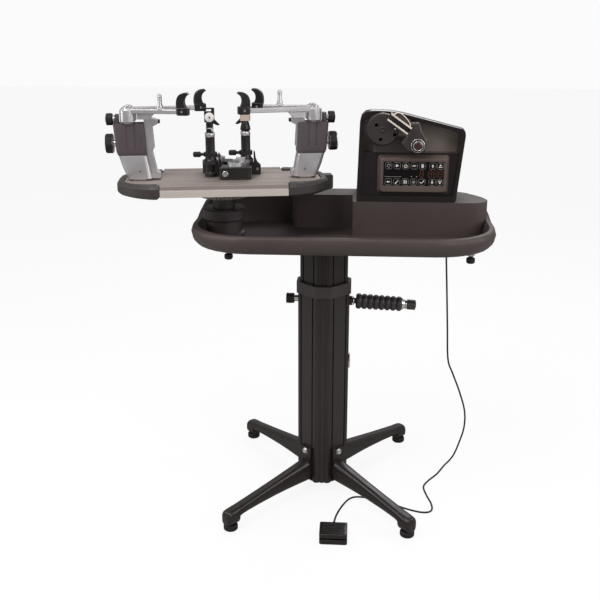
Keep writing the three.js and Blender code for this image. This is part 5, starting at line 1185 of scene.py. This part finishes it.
class STRINGER_OT_tension(bpy.types.Operator):
    """Drum, gripper and button details of the tension head"""

    bl_idname = "stringer.tension"
    bl_label = "Tension Head Details"
    bl_options = {"REGISTER", "UNDO"}

    def execute(self, context):
        self.drum()
        self.jaws()
        self.button()
        return {"FINISHED"}

    def drum(self):
        """The hub, the bushes, and near-black linings in the drum's holes, which are painted
        shade.
        """
        face = facing(console_point(DRUM_X, DRUM_Y, DRUM_Z), FORWARD)
        bushes, shade_linings = [band_ring(1, 7.6, -0.2, 1.2, face, 28)], []
        for reach, angle, outer in DRUM_HOLES:
            a = math.radians(angle)
            spot = facing(console_point(DRUM_X + reach * math.sin(a), DRUM_Y,
                                        DRUM_Z + reach * math.cos(a)), FORWARD)
            bushes.append(band_ring(4.6, outer, -0.3, 0.2, spot, 24, 0.1))
            # painted shade: a near-black lining deep in each hole stands in for the dark inside of
            # the hole
            shade_linings.append(turned([(0, -12), (4.2, -12), (4.2, -0.3), (3.7, -0.3), (3.7, -11.4),
                                (0, -11.4)], 24, spot))
        add_piece("drum_bushes", bushes, "moulding", "drum")
        add_piece("drum_hole_cups", shade_linings, "panel", "drum")

    def jaws(self):
        """The jaws' cream liners, the dark lever with its pale rim, and its pin."""
        place = jaws_place()
        for name, x in (("jaw_liner_upper", -8), ("jaw_liner_lower", 8)):
            outline = [(x - 1.7, -0.8), (x + 1.7, -0.8), (x + 1.7, 0.2), (x - 1.7, 0.2)]
            add_piece(name, raised(outline, -30.6, 30.6, place), "cream", "puller", edge=0.2)
        outline = [(-11, -24), (-20.5, -20.5), (-23, -14), (-21, 8), (-16, 21), (-11, 25)]
        rim = wire([place @ mm(x, 5, z) for x, z in outline], 1.3 * MM, "NURBS", 3)
        rim.splines[0].order_u = 4
        rim.splines[0].use_endpoint_u = True
        add_piece("jaw_rim", rim, "cream", "puller")
        lever = raised([(x, -z) for x, z in outline], -5.8, -4.2, place @ spun(90, "X"))
        add_piece("jaw_lever", lever, "smoked", "puller", edge=0.2, smooth=False)
        pin = turned([(2, 0), (2, 5), (3, 5.6), (3, 7.4), (2.2, 8)], 18,
                     on(place, (10.4, 12, 0), (1, 0, 0)))
        add_piece("jaw_pin", pin, "bright", "puller")

    def button(self):
        face = facing(console_point(*BUTTON), FORWARD)
        rings = [band_ring(15.2, 17.4, -7.2, -5.6, face, 44),
                 band_ring(10.4, 12.2, -0.4, 0.8, face, 40, 0.4)]
        add_piece("button_ring", rings, "bright", "puller")
        add_piece("button_cap", domed(10, 2.2, face), "maroon", "puller")


# Sidebar and registration

STEPS = [
    ("stringer.stage", "WORLD"),
    ("stringer.lead", "CURVE_PATH"),
    ("stringer.finishes", "MATERIAL"),
    ("stringer.panel", "MESH_GRID"),
    ("stringer.stand", "EMPTY_SINGLE_ARROW"),
    ("stringer.towers", "MESH_CYLINDER"),
    ("stringer.clamps", "MESH_CONE"),
    ("stringer.tension", "MESH_TORUS"),
]


class STRINGER_PT_sidebar(bpy.types.Panel):
    """Lists the steps that dress the machine"""

    bl_idname = "STRINGER_PT_sidebar"
    bl_label = "Stringing Machine"
    bl_space_type = "VIEW_3D"
    bl_region_type = "UI"
    bl_category = "Stringer"

    def draw(self, context):
        layout = self.layout
        for group in ("stringer_sizes", "stringer_colours", "stringer_stage"):
            settings = getattr(context.scene, group)
            column = layout.column(align=True)
            for name in settings.__annotations__:
                column.prop(settings, name)
        for idname, icon in STEPS:
            layout.operator(idname, icon=icon)


CLASSES = (
    StringerSizes,
    StringerColours,
    StringerStage,
    STRINGER_OT_stage,
    STRINGER_OT_lead,
    STRINGER_OT_finishes,
    STRINGER_OT_panel,
    STRINGER_OT_stand,
    STRINGER_OT_towers,
    STRINGER_OT_clamps,
    STRINGER_OT_tension,
    STRINGER_PT_sidebar,
)


def register():
    for cls in CLASSES:
        bpy.utils.register_class(cls)
    bpy.types.Scene.stringer_sizes = PointerProperty(type=StringerSizes)
    bpy.types.Scene.stringer_colours = PointerProperty(type=StringerColours)
    bpy.types.Scene.stringer_stage = PointerProperty(type=StringerStage)


def unregister():
    del bpy.types.Scene.stringer_stage
    del bpy.types.Scene.stringer_colours
    del bpy.types.Scene.stringer_sizes
    for cls in reversed(CLASSES):
        bpy.utils.unregister_class(cls)


def main():
    register()
    bpy.ops.stringer.stage()
    bpy.ops.stringer.lead()
    bpy.ops.stringer.finishes()
    bpy.ops.stringer.panel()
    bpy.ops.stringer.stand()
    bpy.ops.stringer.towers()
    bpy.ops.stringer.clamps()
    bpy.ops.stringer.tension()


if __name__ == "__main__":
    main()
